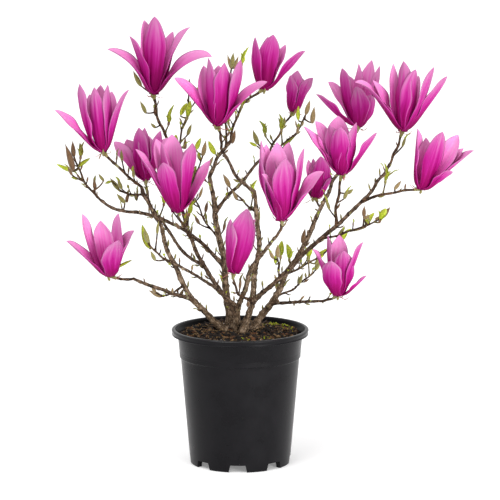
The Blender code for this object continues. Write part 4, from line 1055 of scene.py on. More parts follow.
# %% Petal tissue
VEINS_ACROSS = 5.0  # over half a petal, one each three millimetres: real ones are closer
VEINS_ALONG = 1.1
VEIN_RELIEF = 0.5 * MM
STREAK = 0.78
MARGIN_PALER = 0.26
MARGIN_POWER = 6.0


def petal_tissue():
    made, tree, shader = new_material(
        "magnolia_petal", "#C63B9B", roughness=0.55, ior=1.4, Specular_IOR_Level=0.07,
        Subsurface_Weight=0.08, Subsurface_Scale=1.5 * MM, Subsurface_Radius=(1.0, 0.35, 0.75))
    marks = {name: node(tree, "Attribute", attribute_name=name).outputs["Fac"]
             for name in ("along", "across", "inner_face", "petal", "depth")}
    across, along = [node(tree, "Math", {1: scale}, {0: marks[name]}, operation="MULTIPLY")
                     for name, scale in (("across", VEINS_ACROSS), ("along", VEINS_ALONG))]
    spread = node(tree, "CombineXYZ", links={
        "X": across.outputs["Value"], "Y": along.outputs["Value"], "Z": marks["petal"]})
    veins = node(tree, "TexNoise",
                 {"Scale": 1.0, "Detail": 3.0, "Roughness": 0.6, "Distortion": 0.2},
                 {"Vector": spread.outputs["Vector"]})
    margin = node(tree, "Math", {1: MARGIN_POWER}, {0: marks["across"]}, operation="POWER")
    higher = node(tree, "Math", {1: MARGIN_PALER},
                  {0: margin.outputs["Value"], 2: marks["along"]}, operation="MULTIPLY_ADD")
    streaked = node(tree, "Math", {1: STREAK},
                    {0: veins.outputs["Fac"], 2: higher.outputs["Value"]},
                    operation="MULTIPLY_ADD")
    shifted = node(tree, "Math", links={0: streaked.outputs["Value"], 1: marks["depth"]},
                   operation="SUBTRACT")
    outer = node(tree, "ValToRGB", links={"Fac": shifted.outputs["Value"]},
                 stops=[(0.12, "#740046"), (0.34, "#870658"), (0.58, "#A11978"),
                        (0.82, "#B0448E"), (1.0, "#B26A99")])
    # the inner ramp is partly the inner face's own paler pink and partly painted light, for light
    # shining through the petal
    inner = node(tree, "ValToRGB", links={"Fac": shifted.outputs["Value"]},
                 stops=[(0.14, "#930A64"), (0.36, "#CC3C9E"), (0.62, "#DC6AB8"),
                        (0.95, "#D98CBF")])
    faces = node(tree, "Mix", links={0: marks["inner_face"], 6: outer.outputs["Color"],
                                     7: inner.outputs["Color"]}, data_type="RGBA")
    bump = node(tree, "Bump", {"Strength": 0.35, "Distance": VEIN_RELIEF},
                {"Height": veins.outputs["Fac"]})
    feed(tree, shader, Base_Color=faces.outputs[2], Normal=bump.outputs["Normal"])
    return made


petal_finish = petal_tissue()
print("petal finish:", petal_finish.name)

# %% [markdown]
# The blooms
# Each bloom is its own piece and stands for its spray. A petal leaves the foot almost flat, turns
# up as a cup and then follows its own curl, and the whole rib is turned and scaled so that the tip
# comes where the plan has it. The blade gets pleats, a groove along the rib, a wavy margin and a
# twist, all seeded by the bloom's name. The powers in its curves set how full each one is.

# %% The blooms
PETAL_RINGS = 34
PETAL_COLUMNS = 17
PETAL_THICKNESS = 0.7 * MM
WIDEST = 0.58
ROOT_SHARE = 0.50
BLUNTNESS = 2.3
NARROWEST = 0.008
CUPPED_ANGLE = math.radians(20.0)
TIP_FROM = 0.75
OPEN_TIP_TURN = (-0.1, 0.5)
CUPPED_TIP_TURN = (-0.2, 0.3)
SWAY = 4  # in millimetres
TWIST = 0.3
RIB_WAVE, RIB_WAVES = 0.06, (5.0, 8.0)
CUP = (0.85, 1.05)
CUP_LOSS, CUP_TIP = 0.4, 0.3
PLEAT_HEIGHT = 0.30 * MM
PLEATS = (3.0, 4.2)
PLEAT_SHIFT, PLEAT_LEAN = 0.8, 1.5
FINE_PLEATS, FINE_HEIGHT = 19.0, 0.6
GROOVE_DEPTH = 0.9 * MM
GROOVE_WIDTH = 0.13
EDGE_WAVE = (0.8, 2.0)  # in millimetres
EDGE_WAVES = (1.2, 2.6)
EDGE_LEAN = 1.6
OUTLINE_WAVE, OUTLINE_WAVES = 0.04, (9, 16)
ANY_PHASE = (0, 6)
VEIN_PLACES = (0, 40)
PETAL_DEPTH = 0.335
DEPTH_SPREAD = (-0.08, 0.10)


def petal_half_width(share, width):
    """Half the width along a petal: a narrow root, widest past the middle, and a blunt point."""
    rise = np.sin(np.pi / 2.0 * np.clip(share / WIDEST, 0, 1)) ** 1.3
    high = 1.0 - np.clip((share - WIDEST) / (1.0 - WIDEST), 0, 1) ** BLUNTNESS
    low = ROOT_SHARE + (1.0 - ROOT_SHARE) * rise
    return width / 2.0 * low * np.maximum(high, NARROWEST) ** 0.85


def petal_rib(base, up, petal, angles):
    """A rib with these angles, turned and scaled so that it ends at the petal's planned tip."""
    trial, _ = curved_rib(np.zeros(3), petal["out"], up, angles, 1.0)
    reached = math.atan2(trial[-1].dot(petal["out"]), trial[-1].dot(up))
    angles = angles + math.atan2(petal["reach"], petal["rise"]) - reached
    length = math.hypot(petal["reach"], petal["rise"]) / float(np.linalg.norm(trial[-1]))
    rib, inward = curved_rib(base, petal["out"], up, angles, length)
    share = np.linspace(0.0, 1.0, len(angles))
    return rib + petal["out"] * root_reach(share)[:, None], inward


def petal_relief(share, seed):
    """How far a petal's points lie off a smooth blade, by its pleats, groove and wavy margin."""
    column = np.linspace(-1.0, 1.0, PETAL_COLUMNS)[None, :]
    height = share[:, None]
    grown = np.sin(np.pi * height) ** 0.7
    pleats = np.cos(column * np.pi * seed.uniform(*PLEATS)
                    + seed.uniform(-PLEAT_SHIFT, PLEAT_SHIFT) + PLEAT_LEAN * height)
    fine = np.cos(column * FINE_PLEATS + seed.uniform(*ANY_PHASE) - height)
    groove = -GROOVE_DEPTH * grown * bulge(column, 0.0, GROOVE_WIDTH)
    edge = seed.uniform(*EDGE_WAVE) * MM * np.abs(column) ** 3 * grown
    turns = height * seed.uniform(*EDGE_WAVES) + seed.random()
    wave = edge * np.sin(2.0 * np.pi * turns + EDGE_LEAN * column)
    return PLEAT_HEIGHT * grown * (pleats + FINE_HEIGHT * fine) + groove + wave


def dressed_petal(base, up, petal, seed):
    """One petal as a blade, on the rib that the plan gives and with its own chance marks."""
    share = np.linspace(0.0, 1.0, PETAL_RINGS)
    bent = share ** (1.5 if petal["curl"] > 0.1 else 1.0)
    tip_turn = seed.uniform(*(OPEN_TIP_TURN if petal["opening"] > CUPPED_ANGLE
                              else CUPPED_TIP_TURN))
    angles = petal["curl"] * bent
    angles = angles + tip_turn * np.clip((share - TIP_FROM) / (1.0 - TIP_FROM), 0, 1) ** 2
    rib_wave = seed.uniform(-RIB_WAVE, RIB_WAVE)
    angles = angles + rib_wave * np.sin(share * seed.uniform(*RIB_WAVES))
    rib, inward = petal_rib(base, up, petal, angles)
    side = np.broadcast_to(np.cross(up, petal["out"]), rib.shape)
    rib = rib + side * (seed.uniform(-SWAY, SWAY) * MM * np.sin(np.pi * share))[:, None]
    roll = (petal["roll"] * share + seed.uniform(-TWIST, TWIST) * share ** 1.5)[:, None]
    turned_in = inward * np.cos(roll) + side * np.sin(roll)
    turned_side = side * np.cos(roll) - inward * np.sin(roll)
    cup = seed.uniform(*CUP) - CUP_LOSS * share + CUP_TIP * share ** 4
    relief = petal_relief(share, seed)
    half = petal_half_width(share, petal["width"])
    waves = share * seed.uniform(*OUTLINE_WAVES) + seed.uniform(*ANY_PHASE)
    half = half * (1.0 + OUTLINE_WAVE * np.sin(waves))
    return blade(rib, turned_side, turned_in, half, cup, PETAL_THICKNESS, PETAL_COLUMNS, relief)


# %% [markdown]
# The petals' map, and the blooms made
# Other programs don't know Blender's nodes, so an exported model has its colours baked into a
# picture, and a map says where on the picture each face lies. Here every petal is unrolled into
# its own cell of a three by three grid, which keeps the baked veins sharp. Two more marks give
# each petal its own veins and its own depth of colour.

# %% The petals' map, and the blooms made
MAP_COLUMNS = 3
MAP_SPAN = (0.96, 0.94)
MAP_EDGE = (0.02, 0.03)
MAP_POINT = 0.01


def map_cell(index, rings, points_round):
    """Where a petal's faces lie on the bake map: one cell of a grid, unrolled."""
    column, row = index % MAP_COLUMNS, index // MAP_COLUMNS
    u = np.arange(points_round + 1) / points_round * MAP_SPAN[0] + MAP_EDGE[0] + column
    v = np.arange(rings) / (rings - 1) * MAP_SPAN[1] + MAP_EDGE[1] + row
    u, v = u / MAP_COLUMNS, v / MAP_COLUMNS
    corners = [np.stack(np.broadcast_arrays(u[a:a + points_round], v[b:b + rings - 1, None]), -1)
               for a, b in ((0, 0), (1, 0), (1, 1), (0, 1))]
    quads = np.stack(corners, 2).reshape(-1, 2)
    foot, head = v[0] - MAP_POINT / MAP_COLUMNS, v[-1] + MAP_POINT / MAP_COLUMNS
    fans = []
    for level, point, order in ((v[0], foot, (1, 0)), (v[-1], head, (0, 1))):
        a, b = [u[start:start + points_round] for start in order]
        rows = [np.stack([across, np.full_like(across, height)], -1)
                for across, height in ((a, level), (b, level), ((a + b) / 2, point))]
        fans.append(np.stack(rows, 1).reshape(-1, 2))
    return np.concatenate([quads, *fans])


def build_bloom(name, lean, petals):
    """A bloom's petals as one piece, which stands for its spray."""
    seed = random.Random(name + " dressed")
    up = bloom_axes(*lean)[2]
    heap = Heap("petals_" + name[-2:])
    for index, petal in enumerate(petal_plan(up, petals)):
        shape, marks = dressed_petal(limbs[name]["tip"], up, petal, seed)
        count = len(shape[0])
        marks["petal"] = np.full(count, seed.uniform(*VEIN_PLACES))
        marks["depth"] = np.full(count, PETAL_DEPTH + seed.uniform(*DEPTH_SPREAD))
        heap.add(shape, 0, marks, map_cell(index, PETAL_RINGS, 2 * PETAL_COLUMNS - 2))
    heap.piece([petal_finish], "blooms", [name])


for name, *lean, petals in BLOOMS:
    build_bloom(name, lean, petals)

# %% [markdown]
# Bud scales, leaves and dry bracts
# A magnolia's winter bud is wrapped in one downy scale, olive to fawn. The young leaves that come
# out of it are a bright yellow green, and small dry bracts stay under each bloom. All three are
# soft tissue with a roughness of 0.5 to 0.7 and an IOR of 1.4. Down has a sheen. Colours are dealt
# out by spray as plain base colours, and only a fine grain lies over them.

# %% Bud scales, leaves and dry bracts
DOWN_SPACING = 0.9 * MM  # real down is finer, but would not show
LEAF_VEIN_SPACING = 2.4 * MM


def speckle(material, size, detail, stops, strength, depth):
    """Give a new material its colours in specks of one size, and the specks' relief."""
    made, tree, shader = material
    place = node(tree, "TexCoord").outputs["Object"]
    specks = node(tree, "TexNoise", {"Scale": 1.0 / size, **detail}, {"Vector": place})
    colours = node(tree, "ValToRGB", links={"Fac": specks.outputs["Fac"]}, stops=stops)
    bump = node(tree, "Bump", {"Strength": strength, "Distance": depth},
                {"Height": specks.outputs["Fac"]})
    feed(tree, shader, Base_Color=colours.outputs["Color"], Normal=bump.outputs["Normal"])
    return made


def soft_tissue(name, colour, deeper, roughness, sheen, grain):
    """Plain plant tissue: one colour with a fine grain in it."""
    material = new_material(name, colour, roughness, ior=1.4, Sheen_Weight=sheen,
                            Subsurface_Weight=0.08, Subsurface_Scale=1.0 * MM)
    return speckle(material, grain, {"Detail": 3.0}, [(0.36, deeper), (0.60, colour)],
                   strength=0.4, depth=0.25 * MM)


# each with its lighter and deeper colour, its roughness, its sheen and its grain
fawn_down = soft_tissue("fawn_bud_down", "#937C50", "#66502D", 0.7, 0.5, DOWN_SPACING)
olive_down = soft_tissue("olive_bud_down", "#86803E", "#5E5528", 0.7, 0.5, DOWN_SPACING)
brown_down = soft_tissue("brown_bud_down", "#735432", "#4A321B", 0.7, 0.4, DOWN_SPACING)
fresh_leaf = soft_tissue("fresh_magnolia_leaf", "#96A01B", "#747E10", 0.5, 0.05, LEAF_VEIN_SPACING)
bright_leaf = soft_tissue("bright_magnolia_leaf", "#B2C02E", "#8E9A18", 0.5, 0.05,
                          LEAF_VEIN_SPACING)
olive_leaf = soft_tissue("olive_magnolia_leaf", "#85862B", "#66631C", 0.5, 0.05, LEAF_VEIN_SPACING)
red_bract = soft_tissue("dry_red_bract", "#A85B52", "#7C3B36", 0.6, 0.1, DOWN_SPACING)
tan_bract = soft_tissue("dry_tan_bract", "#9C7A50", "#6F5233", 0.6, 0.1, DOWN_SPACING)
print("finishes so far:", len(bpy.data.materials))

# %% [markdown]
# The buds
# A bud is a small loft along a slightly bent line, with a blunt root, a full waist and a fine
# point, and a low seam that winds up it where the scale's edges meet.

# %% The buds
BUD_RINGS = 11
BUD_SIDES = 10
BUD_COLOURS = (0, 1, 1, 2)  # fawn, olive twice as often, and brown
BUD_BEND = 0.10
BUD_ROOT, BUD_WAIST, BUD_POINT = 0.45, 3.7, 0.05
SEAM_HEIGHT, SEAM_TURN, SEAM_EDGE = 0.10, 2.2, 0.6
BUD_WIDTHS = (0.62, 0.9)
TUFT_BUD = (9.0 * MM, 4.2 * MM)
END_BUD_SCALE = 1.2
END_BUD = (END_BUD_SCALE * BUD_LENGTH, 0.9 * END_BUD_SCALE * BUD_THICKNESS)
END_BUD_UP = 0.6
SPUR_BUD_WIDTHS = (0.26, 0.36)


def add_bud(heap, foot, up, length, thickness, slot, seed):
    share = np.linspace(0.0, 1.0, BUD_RINGS)
    out = across_line(up)[0]
    bend = seed.uniform(-BUD_BEND, BUD_BEND) * length
    line = foot + up * (length * share)[:, None] + out * (bend * share ** 2)[:, None]
    root = BUD_ROOT * (1.0 - share) ** 3
    shape = root + BUD_WAIST * share ** 0.9 * (1.0 - share) ** 1.25
    radii = thickness / 2.0 * np.clip(shape, BUD_POINT, 1.0)
    angle = 2.0 * np.pi * np.arange(BUD_SIDES) / BUD_SIDES
    winding = np.cos(angle[None, :] - SEAM_TURN * share[:, None] - bend)
    seam = 1.0 + SEAM_HEIGHT * np.clip(winding, SEAM_EDGE, 1.0)
    heap.add(tube(line, radii[:, None] * seam, BUD_SIDES), slot)


def crown_shoot(heap, growth, length, thickness, slot, seed):
    """Set a bud on the tip of a shoot, with its foot a millimetre inside it."""
    add_bud(heap, growth["tip"] - growth["up"] * MM, growth["up"], length, thickness, slot, seed)


buds = Heap("buds")
for name in SPRAY_NAMES:
    seed = random.Random(name + " bud shapes")
    slot = seed.choice(BUD_COLOURS)
    for shoot in shoots[name]:
        size = TUFT_BUD
        if shoot["kind"] == "bud":
            size = (shoot["end"], BUD_THICKNESS * seed.uniform(*BUD_WIDTHS))
        crown_shoot(buds, shoot, *size, slot, seed)
    if name.startswith("spray_buds"):
        direction = limb_direction(limbs[name], 1.0)
        up = unit(direction + UPWARDS * END_BUD_UP)
        add_bud(buds, limbs[name]["tip"] - direction * MM, up, *END_BUD, slot, seed)
for name, found in spurs.items():
    seed = random.Random(name + " spur buds")
    for spur in found:
        width = spur["end"] * seed.uniform(*SPUR_BUD_WIDTHS)
        crown_shoot(buds, spur, spur["end"], width, seed.choice(BUD_COLOURS), seed)
seed = random.Random("placed buds")
for growth in placed:
    if growth["kind"] == "bud":
        crown_shoot(buds, growth, growth["end"], growth["width"], growth["slot"], seed)
buds.piece([fawn_down, olive_down, brown_down], "buds")

# %% [markdown]
# Under and inside the blooms
# Each bloom sits on a short thick stalk ringed with scars, with a leaf bud beside it and two to
# four dry bracts that curl away. Inside, which shows from above, stands a green cone of carpels
# with a ring of rosy stamens round its foot.

# %% Under and inside the blooms
STALK_BELOW = 9.0 * MM
STALK_ABOVE = 2.5 * MM
STALK_RINGS = 16
STALK_SIDES = 14
STALK_THIN, STALK_WIDER = 2.1, 2.3  # in millimetres
STALK_SCAR, STALK_SCARS = 0.07, 34.0
BRACTS = (2, 4)
BRACT_START = (1.0, 1.6)
BRACT_CURL = (-0.8, 1.1)
BRACT_WAVE, BRACT_WAVES = 0.5, 5.0
BRACT_BELOW = (0, 3)  # in millimetres
BRACT_OUT = 2.5  # in millimetres
BRACT_SWAY = 5  # in millimetres
BRACT_CUP = 0.9
BRACT_RINGS = 14
BRACT_COLUMNS = 5
BRACT_THICKNESS = 0.4 * MM
BRACT_LENGTH = (11, 21)  # in millimetres
BRACT_HALF_WIDTH = (0.8, 1.5)  # in millimetres
BRACT_COLOURS = (0, 0, 1)  # red twice as often as tan
CONE_LENGTH = 19.0 * MM
CONE_RADIUS = 3.4 * MM
CONE_ABOVE = 2 * MM
CONE_RINGS = 15
CONE_SIDES = 12
CONE_POINT = 0.15 * MM
CARPEL_DIP, CARPEL_HEIGHT = 0.86, 0.22
STAMENS = 44
STAMEN_LENGTH = 9.0 * MM
STAMEN_LENGTHS = (0.8, 1.1)
STAMEN_LEAN, LEAN_GAIN = 0.35, 0.4
STAMEN_ABOVE, ABOVE_LOSS, STAMEN_OUT = 5.5, 3.5, 2.6  # in millimetres
STAMEN_RADII = np.array([0.4, 0.6, 0.6, 0.5, 0.15]) * MM
STALK_BUD_LENGTH = (7, 13)  # in millimetres
STALK_BUD_WIDTH = 3.8 * MM
STALK_BUD_TURN = (-2.4, -0.7)  # on the front, where it shows
STALK_BUD_WAY = (0.9, 0.5)
STALK_BUD_BELOW, STALK_BUD_OUT = 5, 3  # in millimetres

stalks = Heap("bloom_stalks")
bracts = Heap("bracts")
hearts = Heap("bloom_hearts")


def add_stalk(base, up, limb):
    """The stalk from the twig's end into the bloom's foot, ringed with low scars."""
    share = np.linspace(0.0, 1.0, STALK_RINGS)
    below = base - limb_direction(limb, 1.0) * STALK_BELOW
    line = below + (base + up * STALK_ABOVE - below) * share[:, None]
    scars = 1.0 + STALK_SCAR * np.sin(share * STALK_SCARS)
    radii = (STALK_THIN + STALK_WIDER * share ** 1.2) * MM * scars
    stalks.add(tube(line, radii, STALK_SIDES), 0)


def add_bracts(base, axes, seed):
    """A few dry bracts, each curled its own way."""
    across, back, up = axes
    for _ in range(seed.randint(*BRACTS)):
        out = around(across, back, seed.uniform(0.0, 2.0 * math.pi))
        share = np.linspace(0.0, 1.0, BRACT_RINGS)
        angles = seed.uniform(*BRACT_START) + seed.uniform(*BRACT_CURL) * share
        angles = angles + BRACT_WAVE * np.sin(share * BRACT_WAVES)
        foot = base - up * seed.uniform(*BRACT_BELOW) * MM + out * BRACT_OUT * MM
        rib, inward = curved_rib(foot, out, up, angles, seed.uniform(*BRACT_LENGTH) * MM)
        side = np.broadcast_to(np.cross(up, out), rib.shape)
        rib = rib + side * (seed.uniform(-BRACT_SWAY, BRACT_SWAY) * MM * share ** 2)[:, None]
        half = seed.uniform(*BRACT_HALF_WIDTH) * MM * np.sin(np.pi * (0.08 + 0.9 * share)) ** 0.6
        shape, _ = blade(rib, side, inward, half, np.full(BRACT_RINGS, BRACT_CUP),
                         BRACT_THICKNESS, BRACT_COLUMNS)
        bracts.add(shape, seed.choice(BRACT_COLOURS))


def add_heart(base, axes, seed):
    """The cone of carpels, ringed with stamens."""
    across, back, up = axes
    share = np.linspace(0.0, 1.0, CONE_RINGS)
    notched = CARPEL_DIP + CARPEL_HEIGHT * ((share * (CONE_RINGS - 1)) % 2)
    radii = CONE_RADIUS * (1.0 - share ** 2.2) ** 0.8 * notched + CONE_POINT
    hearts.add(tube(base + up * (CONE_ABOVE + CONE_LENGTH * share)[:, None], radii, CONE_SIDES), 0)
    for index in range(STAMENS):
        out = around(across, back, index * SHOOT_TURN)
        lean = STAMEN_LEAN + LEAN_GAIN * index / STAMENS
        way = unit(up * math.cos(lean) + out * math.sin(lean))
        above = STAMEN_ABOVE - ABOVE_LOSS * index / STAMENS
        foot = base + up * above * MM + out * STAMEN_OUT * MM
        share = np.linspace(0, 1, len(STAMEN_RADII))
        line = foot + way * (STAMEN_LENGTH * seed.uniform(*STAMEN_LENGTHS) * share)[:, None]
        hearts.add(tube(line, STAMEN_RADII, len(STAMEN_RADII)), 1)


for name, *lean, petals in BLOOMS:
    seed = random.Random(name + " stalk")
    base, axes = limbs[name]["tip"], bloom_axes(*lean)
    across, back, up = axes
    add_stalk(base, up, limbs[name])
    add_bracts(base, axes, seed)
    add_heart(base, axes, seed)
    out = around(across, back, seed.uniform(*STALK_BUD_TURN))
    way = unit(up * STALK_BUD_WAY[0] + out * STALK_BUD_WAY[1])
    foot = base - up * STALK_BUD_BELOW * MM + out * STALK_BUD_OUT * MM
    add_bud(stalks, foot, way, seed.uniform(*STALK_BUD_LENGTH) * MM, STALK_BUD_WIDTH, 0, seed)

stalks.piece([olive_down], "buds")
bracts.piece([red_bract, tan_bract], "buds")
carpels = soft_tissue("carpel_cone", "#8C9440", "#6B7A2C", 0.5, 0.1, DOWN_SPACING)
anthers = soft_tissue("rosy_anthers", "#C65C93", "#9A2A6A", 0.5, 0.1, DOWN_SPACING)
hearts.piece([carpels, anthers], "blooms")

# %% [markdown]
# The young leaves
# The leaves have just opened: upright, folded along the rib and 15 to 30 mm long. A side shoot of
# the plan that ends in leaves gets one large leaf and two smaller ones beside it, and some of the
# spurs show a green tip.

# %% The young leaves
LEAF_WIDTH = 11.0 * MM
LEAF_RINGS = 10
LEAF_COLUMNS = 7
LEAF_THICKNESS = 0.3 * MM
LEAF_CUP = 0.5
LEAF_FOLD = 0.5
LEAF_BEND = (0.1, 0.6)
LEAF_RUFFLE, RUFFLES = 0.3 * MM, 22.0
LEAF_ROOT, LEAF_POINT = 0.25 * MM, 0.1 * MM
LEAF_COLOURS = (0, 0, 1, 2)  # fresh twice as often, bright and olive
LEAF_TUFT = ((0.0, 1.0, 0.05), (2.3, 0.72, 0.30), (4.1, 0.55, 0.42))  # turn, size, opening
TUFT_ABOVE = 3  # in millimetres
TUFT_TURN = 0.4
TUFT_LENGTHS = (0.85, 1.1)
TUFT_WIDTHS = (0.8, 1.05)
BUD_LEAF_CHANCE, BUD_LEAF_WIDTH = 0.35, 4.5 * MM
SPUR_LEAF_CHANCE, SPUR_LEAF_WIDTH = 0.3, 3.6 * MM
SPUR_LEAF_LENGTHS = (0.8, 1.3)


def add_leaf(heap, foot, up, out, length, width, opening, slot, seed):
    """A leaf that grows along up and bends over towards out."""
    share = np.linspace(0.0, 1.0, LEAF_RINGS)
    out = unit(out - up * out.dot(up))
    angles = opening + seed.uniform(*LEAF_BEND) * share ** 1.5
    rib, inward = curved_rib(foot, out, up, angles, length)
    side = np.broadcast_to(np.cross(up, out), rib.shape)
    half = width / 2.0 * np.sin(np.pi * share ** 0.85) ** 0.8 * (1.0 - 0.25 * share) + LEAF_ROOT
    half[-1] = LEAF_POINT
    across = np.abs(np.linspace(-1.0, 1.0, LEAF_COLUMNS))[None, :]
    ruffle = LEAF_RUFFLE * np.sin(share * RUFFLES)[:, None] * across
    shape, _ = blade(rib, side, inward, half, np.full(LEAF_RINGS, LEAF_CUP), LEAF_THICKNESS,
                     LEAF_COLUMNS, LEAF_FOLD * across * half[:, None] + ruffle)
    heap.add(shape, slot)


def add_leaf_tuft(heap, foot, up, out, length, slot, seed):
    """One large leaf and two smaller ones, fanned out from one bud."""
    side = np.cross(up, out)
    for turn, size, opening in LEAF_TUFT:
        facing = around(out, side, turn + seed.uniform(-TUFT_TURN, TUFT_TURN))
        add_leaf(heap, foot, up, facing, length * size * seed.uniform(*TUFT_LENGTHS),
                 LEAF_WIDTH * size * seed.uniform(*TUFT_WIDTHS), opening, slot, seed)


def add_green_tip(heap, growth, leaves_at, length, width, opening, slot, seed):
    """A leaf beside a bud. Where it leaves the bud and its length are shares of the bud's."""
    foot = growth["tip"] + growth["up"] * leaves_at * growth["end"]
    add_leaf(heap, foot, growth["up"], growth["out"], length * growth["end"], width, opening,
             slot, seed)


leaves = Heap("leaves")
for name in SPRAY_NAMES:
    seed = random.Random(name + " leaf shapes")
    slot = seed.choice(LEAF_COLOURS)
    for shoot in shoots[name]:
        if shoot["kind"] == "leaf":
            add_leaf_tuft(leaves, shoot["tip"] + shoot["up"] * TUFT_ABOVE * MM, shoot["up"],
                          shoot["out"], LEAF_LENGTH, slot, seed)
        elif seed.random() < BUD_LEAF_CHANCE:
            add_green_tip(leaves, shoot, 0.4, 0.9, BUD_LEAF_WIDTH, 0.12, slot, seed)
for name, found in spurs.items():
    seed = random.Random(name + " spur leaves")
    for spur in found:
        if seed.random() < SPUR_LEAF_CHANCE:
            add_green_tip(leaves, spur, 0.5, seed.uniform(*SPUR_LEAF_LENGTHS), SPUR_LEAF_WIDTH,
                          0.1, seed.choice((0, 1, 2)), seed)
seed = random.Random("placed leaves")
for growth in placed:
    if growth["kind"] == "leaf":
        add_green_tip(leaves, growth, 0.0, 1.0, growth["width"], -0.1, growth["slot"], seed)
leaves.piece([fresh_leaf, bright_leaf, olive_leaf], "buds")

# %% [markdown]
# Moulded polypropylene
# Nursery pots are injection moulded from black polypropylene with a fine matt grain. The plastic
# is nearly black in itself. What shows is the soft white light along both sides, so roughness
# matters more than colour. The real grain is about 0.4 mm wide and is drawn at 0.6 mm, so that it
# shows. Handling leaves broad cloudy marks. The IOR is polypropylene's 1.49. The same plastic has
# three looks: as moulded outside; darker and almost without shine inside, which is painted shade;
# and lighter and shinier on top of the rim, which is a painted highlight.

# %% Moulded polypropylene
GRAIN_SIZE = 0.6 * MM
GRAIN_RELIEF = 0.08 * MM
HANDLING_SIZE = 35.0 * MM
HANDLING_ROUGHNESS = (0.24, 0.36)


def moulded_polypropylene(name, dark, light, sheen):
    made, tree, shader = new_material(name, light, roughness=0.32, ior=1.49,
                                      Specular_IOR_Level=sheen)
    place = node(tree, "TexCoord").outputs["Object"]
    marks = node(tree, "TexNoise",
                 {"Scale": 1.0 / HANDLING_SIZE, "Detail": 6.0, "Roughness": 0.6},
                 {"Vector": place})
    low, high = HANDLING_ROUGHNESS
    gloss = node(tree, "MapRange",
                 {"From Min": 0.3, "From Max": 0.7, "To Min": low, "To Max": high},
                 {"Value": marks.outputs["Fac"]})
    colours = node(tree, "ValToRGB", links={"Fac": marks.outputs["Fac"]},
                   stops=[(0.35, dark), (0.62, light)])
    grain = node(tree, "TexNoise", {"Scale": 1.0 / GRAIN_SIZE, "Detail": 2.0}, {"Vector": place})
    bump = node(tree, "Bump", {"Strength": 0.25, "Distance": GRAIN_RELIEF},
                {"Height": grain.outputs["Fac"]})
    feed(tree, shader, Base_Color=colours.outputs["Color"], Roughness=gloss.outputs["Result"],
         Normal=bump.outputs["Normal"])
    return made


POT_FINISHES = [
    moulded_polypropylene("moulded_black_polypropylene", "#0C0B0E", "#121114", 0.125),
    # the inside finish is darker and duller than the plastic: painted shade inside the pot
    moulded_polypropylene("black_polypropylene_in_painted_shade", "#030303", "#070708", 0.05),
    # the rim-top finish is lighter and shinier than the plastic: a painted highlight
    moulded_polypropylene("black_polypropylene_with_painted_highlight", "#111113", "#19191C", 0.34)]
print("pot finishes:", [finish.name for finish in POT_FINISHES])

# %% [markdown]
# The pot
# A turned shape with the solid's own measures, drawn finer: a rim that rolls over and ends in a
# thin bead, a slightly tapering band, a step and the long taper to the foot. Eight notches in the
# foot ring let water out, and a Boolean cuts them. Then each face takes one of the three
# finishes, by where it lies and whether it looks inwards.

# %% The pot
POT_HEIGHT = 0.199
RIM_RADIUS = 0.100
RIM_LIP_RADIUS = 0.0945
RIM_DEPTH = 0.009
BAND_TOP_RADIUS = 0.091
BAND_BOTTOM_RADIUS = 0.0884
BAND_BOTTOM_HEIGHT = 0.158
WAIST_RADIUS = 0.0863
BASE_RADIUS = 0.0728
WALL = 0.002
FLOOR = 0.003
LIP_THICKENING = 0.0006
STEP_DROP = 0.0022
INNER_STEP_RISE = 0.004
FOOT_HEIGHT = 0.0106
FOOT_INNER_RADIUS = 0.065
PAD_RADIUS = 0.012
NOTCH_COUNT = 8
NOTCH_BOTTOM_WIDTH = 0.029
NOTCH_TOP_WIDTH = 0.022
NOTCH_TURN = math.radians(-2.5)
NOTCH_OVERSHOOT = 0.005
POT_STEPS = 192
INSIDE_RADIUS = 0.092
# how far down from the top the rim's painted highlight reaches
RIM_HIGHLIGHT_DEPTH = 0.0016
NEAR_AXIS = 0.0002  # a loft's ring can't be a point
CORNER = 0.003
SHARP_EDGE = math.radians(40.0)


def inner_radius(height):
    """The inside of the pot's wall, which tapers in two stretches with a step between them."""
    step = BAND_BOTTOM_HEIGHT - STEP_DROP
    if height <= step:
        share = height / step
        return (BASE_RADIUS - WALL) * (1.0 - share) + (WAIST_RADIUS - WALL) * share
    low = BAND_BOTTOM_RADIUS - WALL - LIP_THICKENING
    top = BAND_TOP_RADIUS - WALL - LIP_THICKENING
    share = (height - step) / (POT_HEIGHT - step)
    return low * (1.0 - share) + top * share


def arc(middle, radius, start, end, count):
    """Points of an arc in the profile's plane, with angles in degrees from straight out."""
    angles = np.radians(np.linspace(start, end, count))
    return [(middle[0] + radius * math.cos(a), middle[1] + radius * math.sin(a)) for a in angles]


def turned(profile, sides):
    """Rings of a profile of (radius, height) about the pot's axis."""
    angle = 2.0 * np.pi * np.arange(sides) / sides
    return np.array([[(r * c, r * s, z) for c, s in zip(np.cos(angle), np.sin(angle))]
                     for r, z in profile])


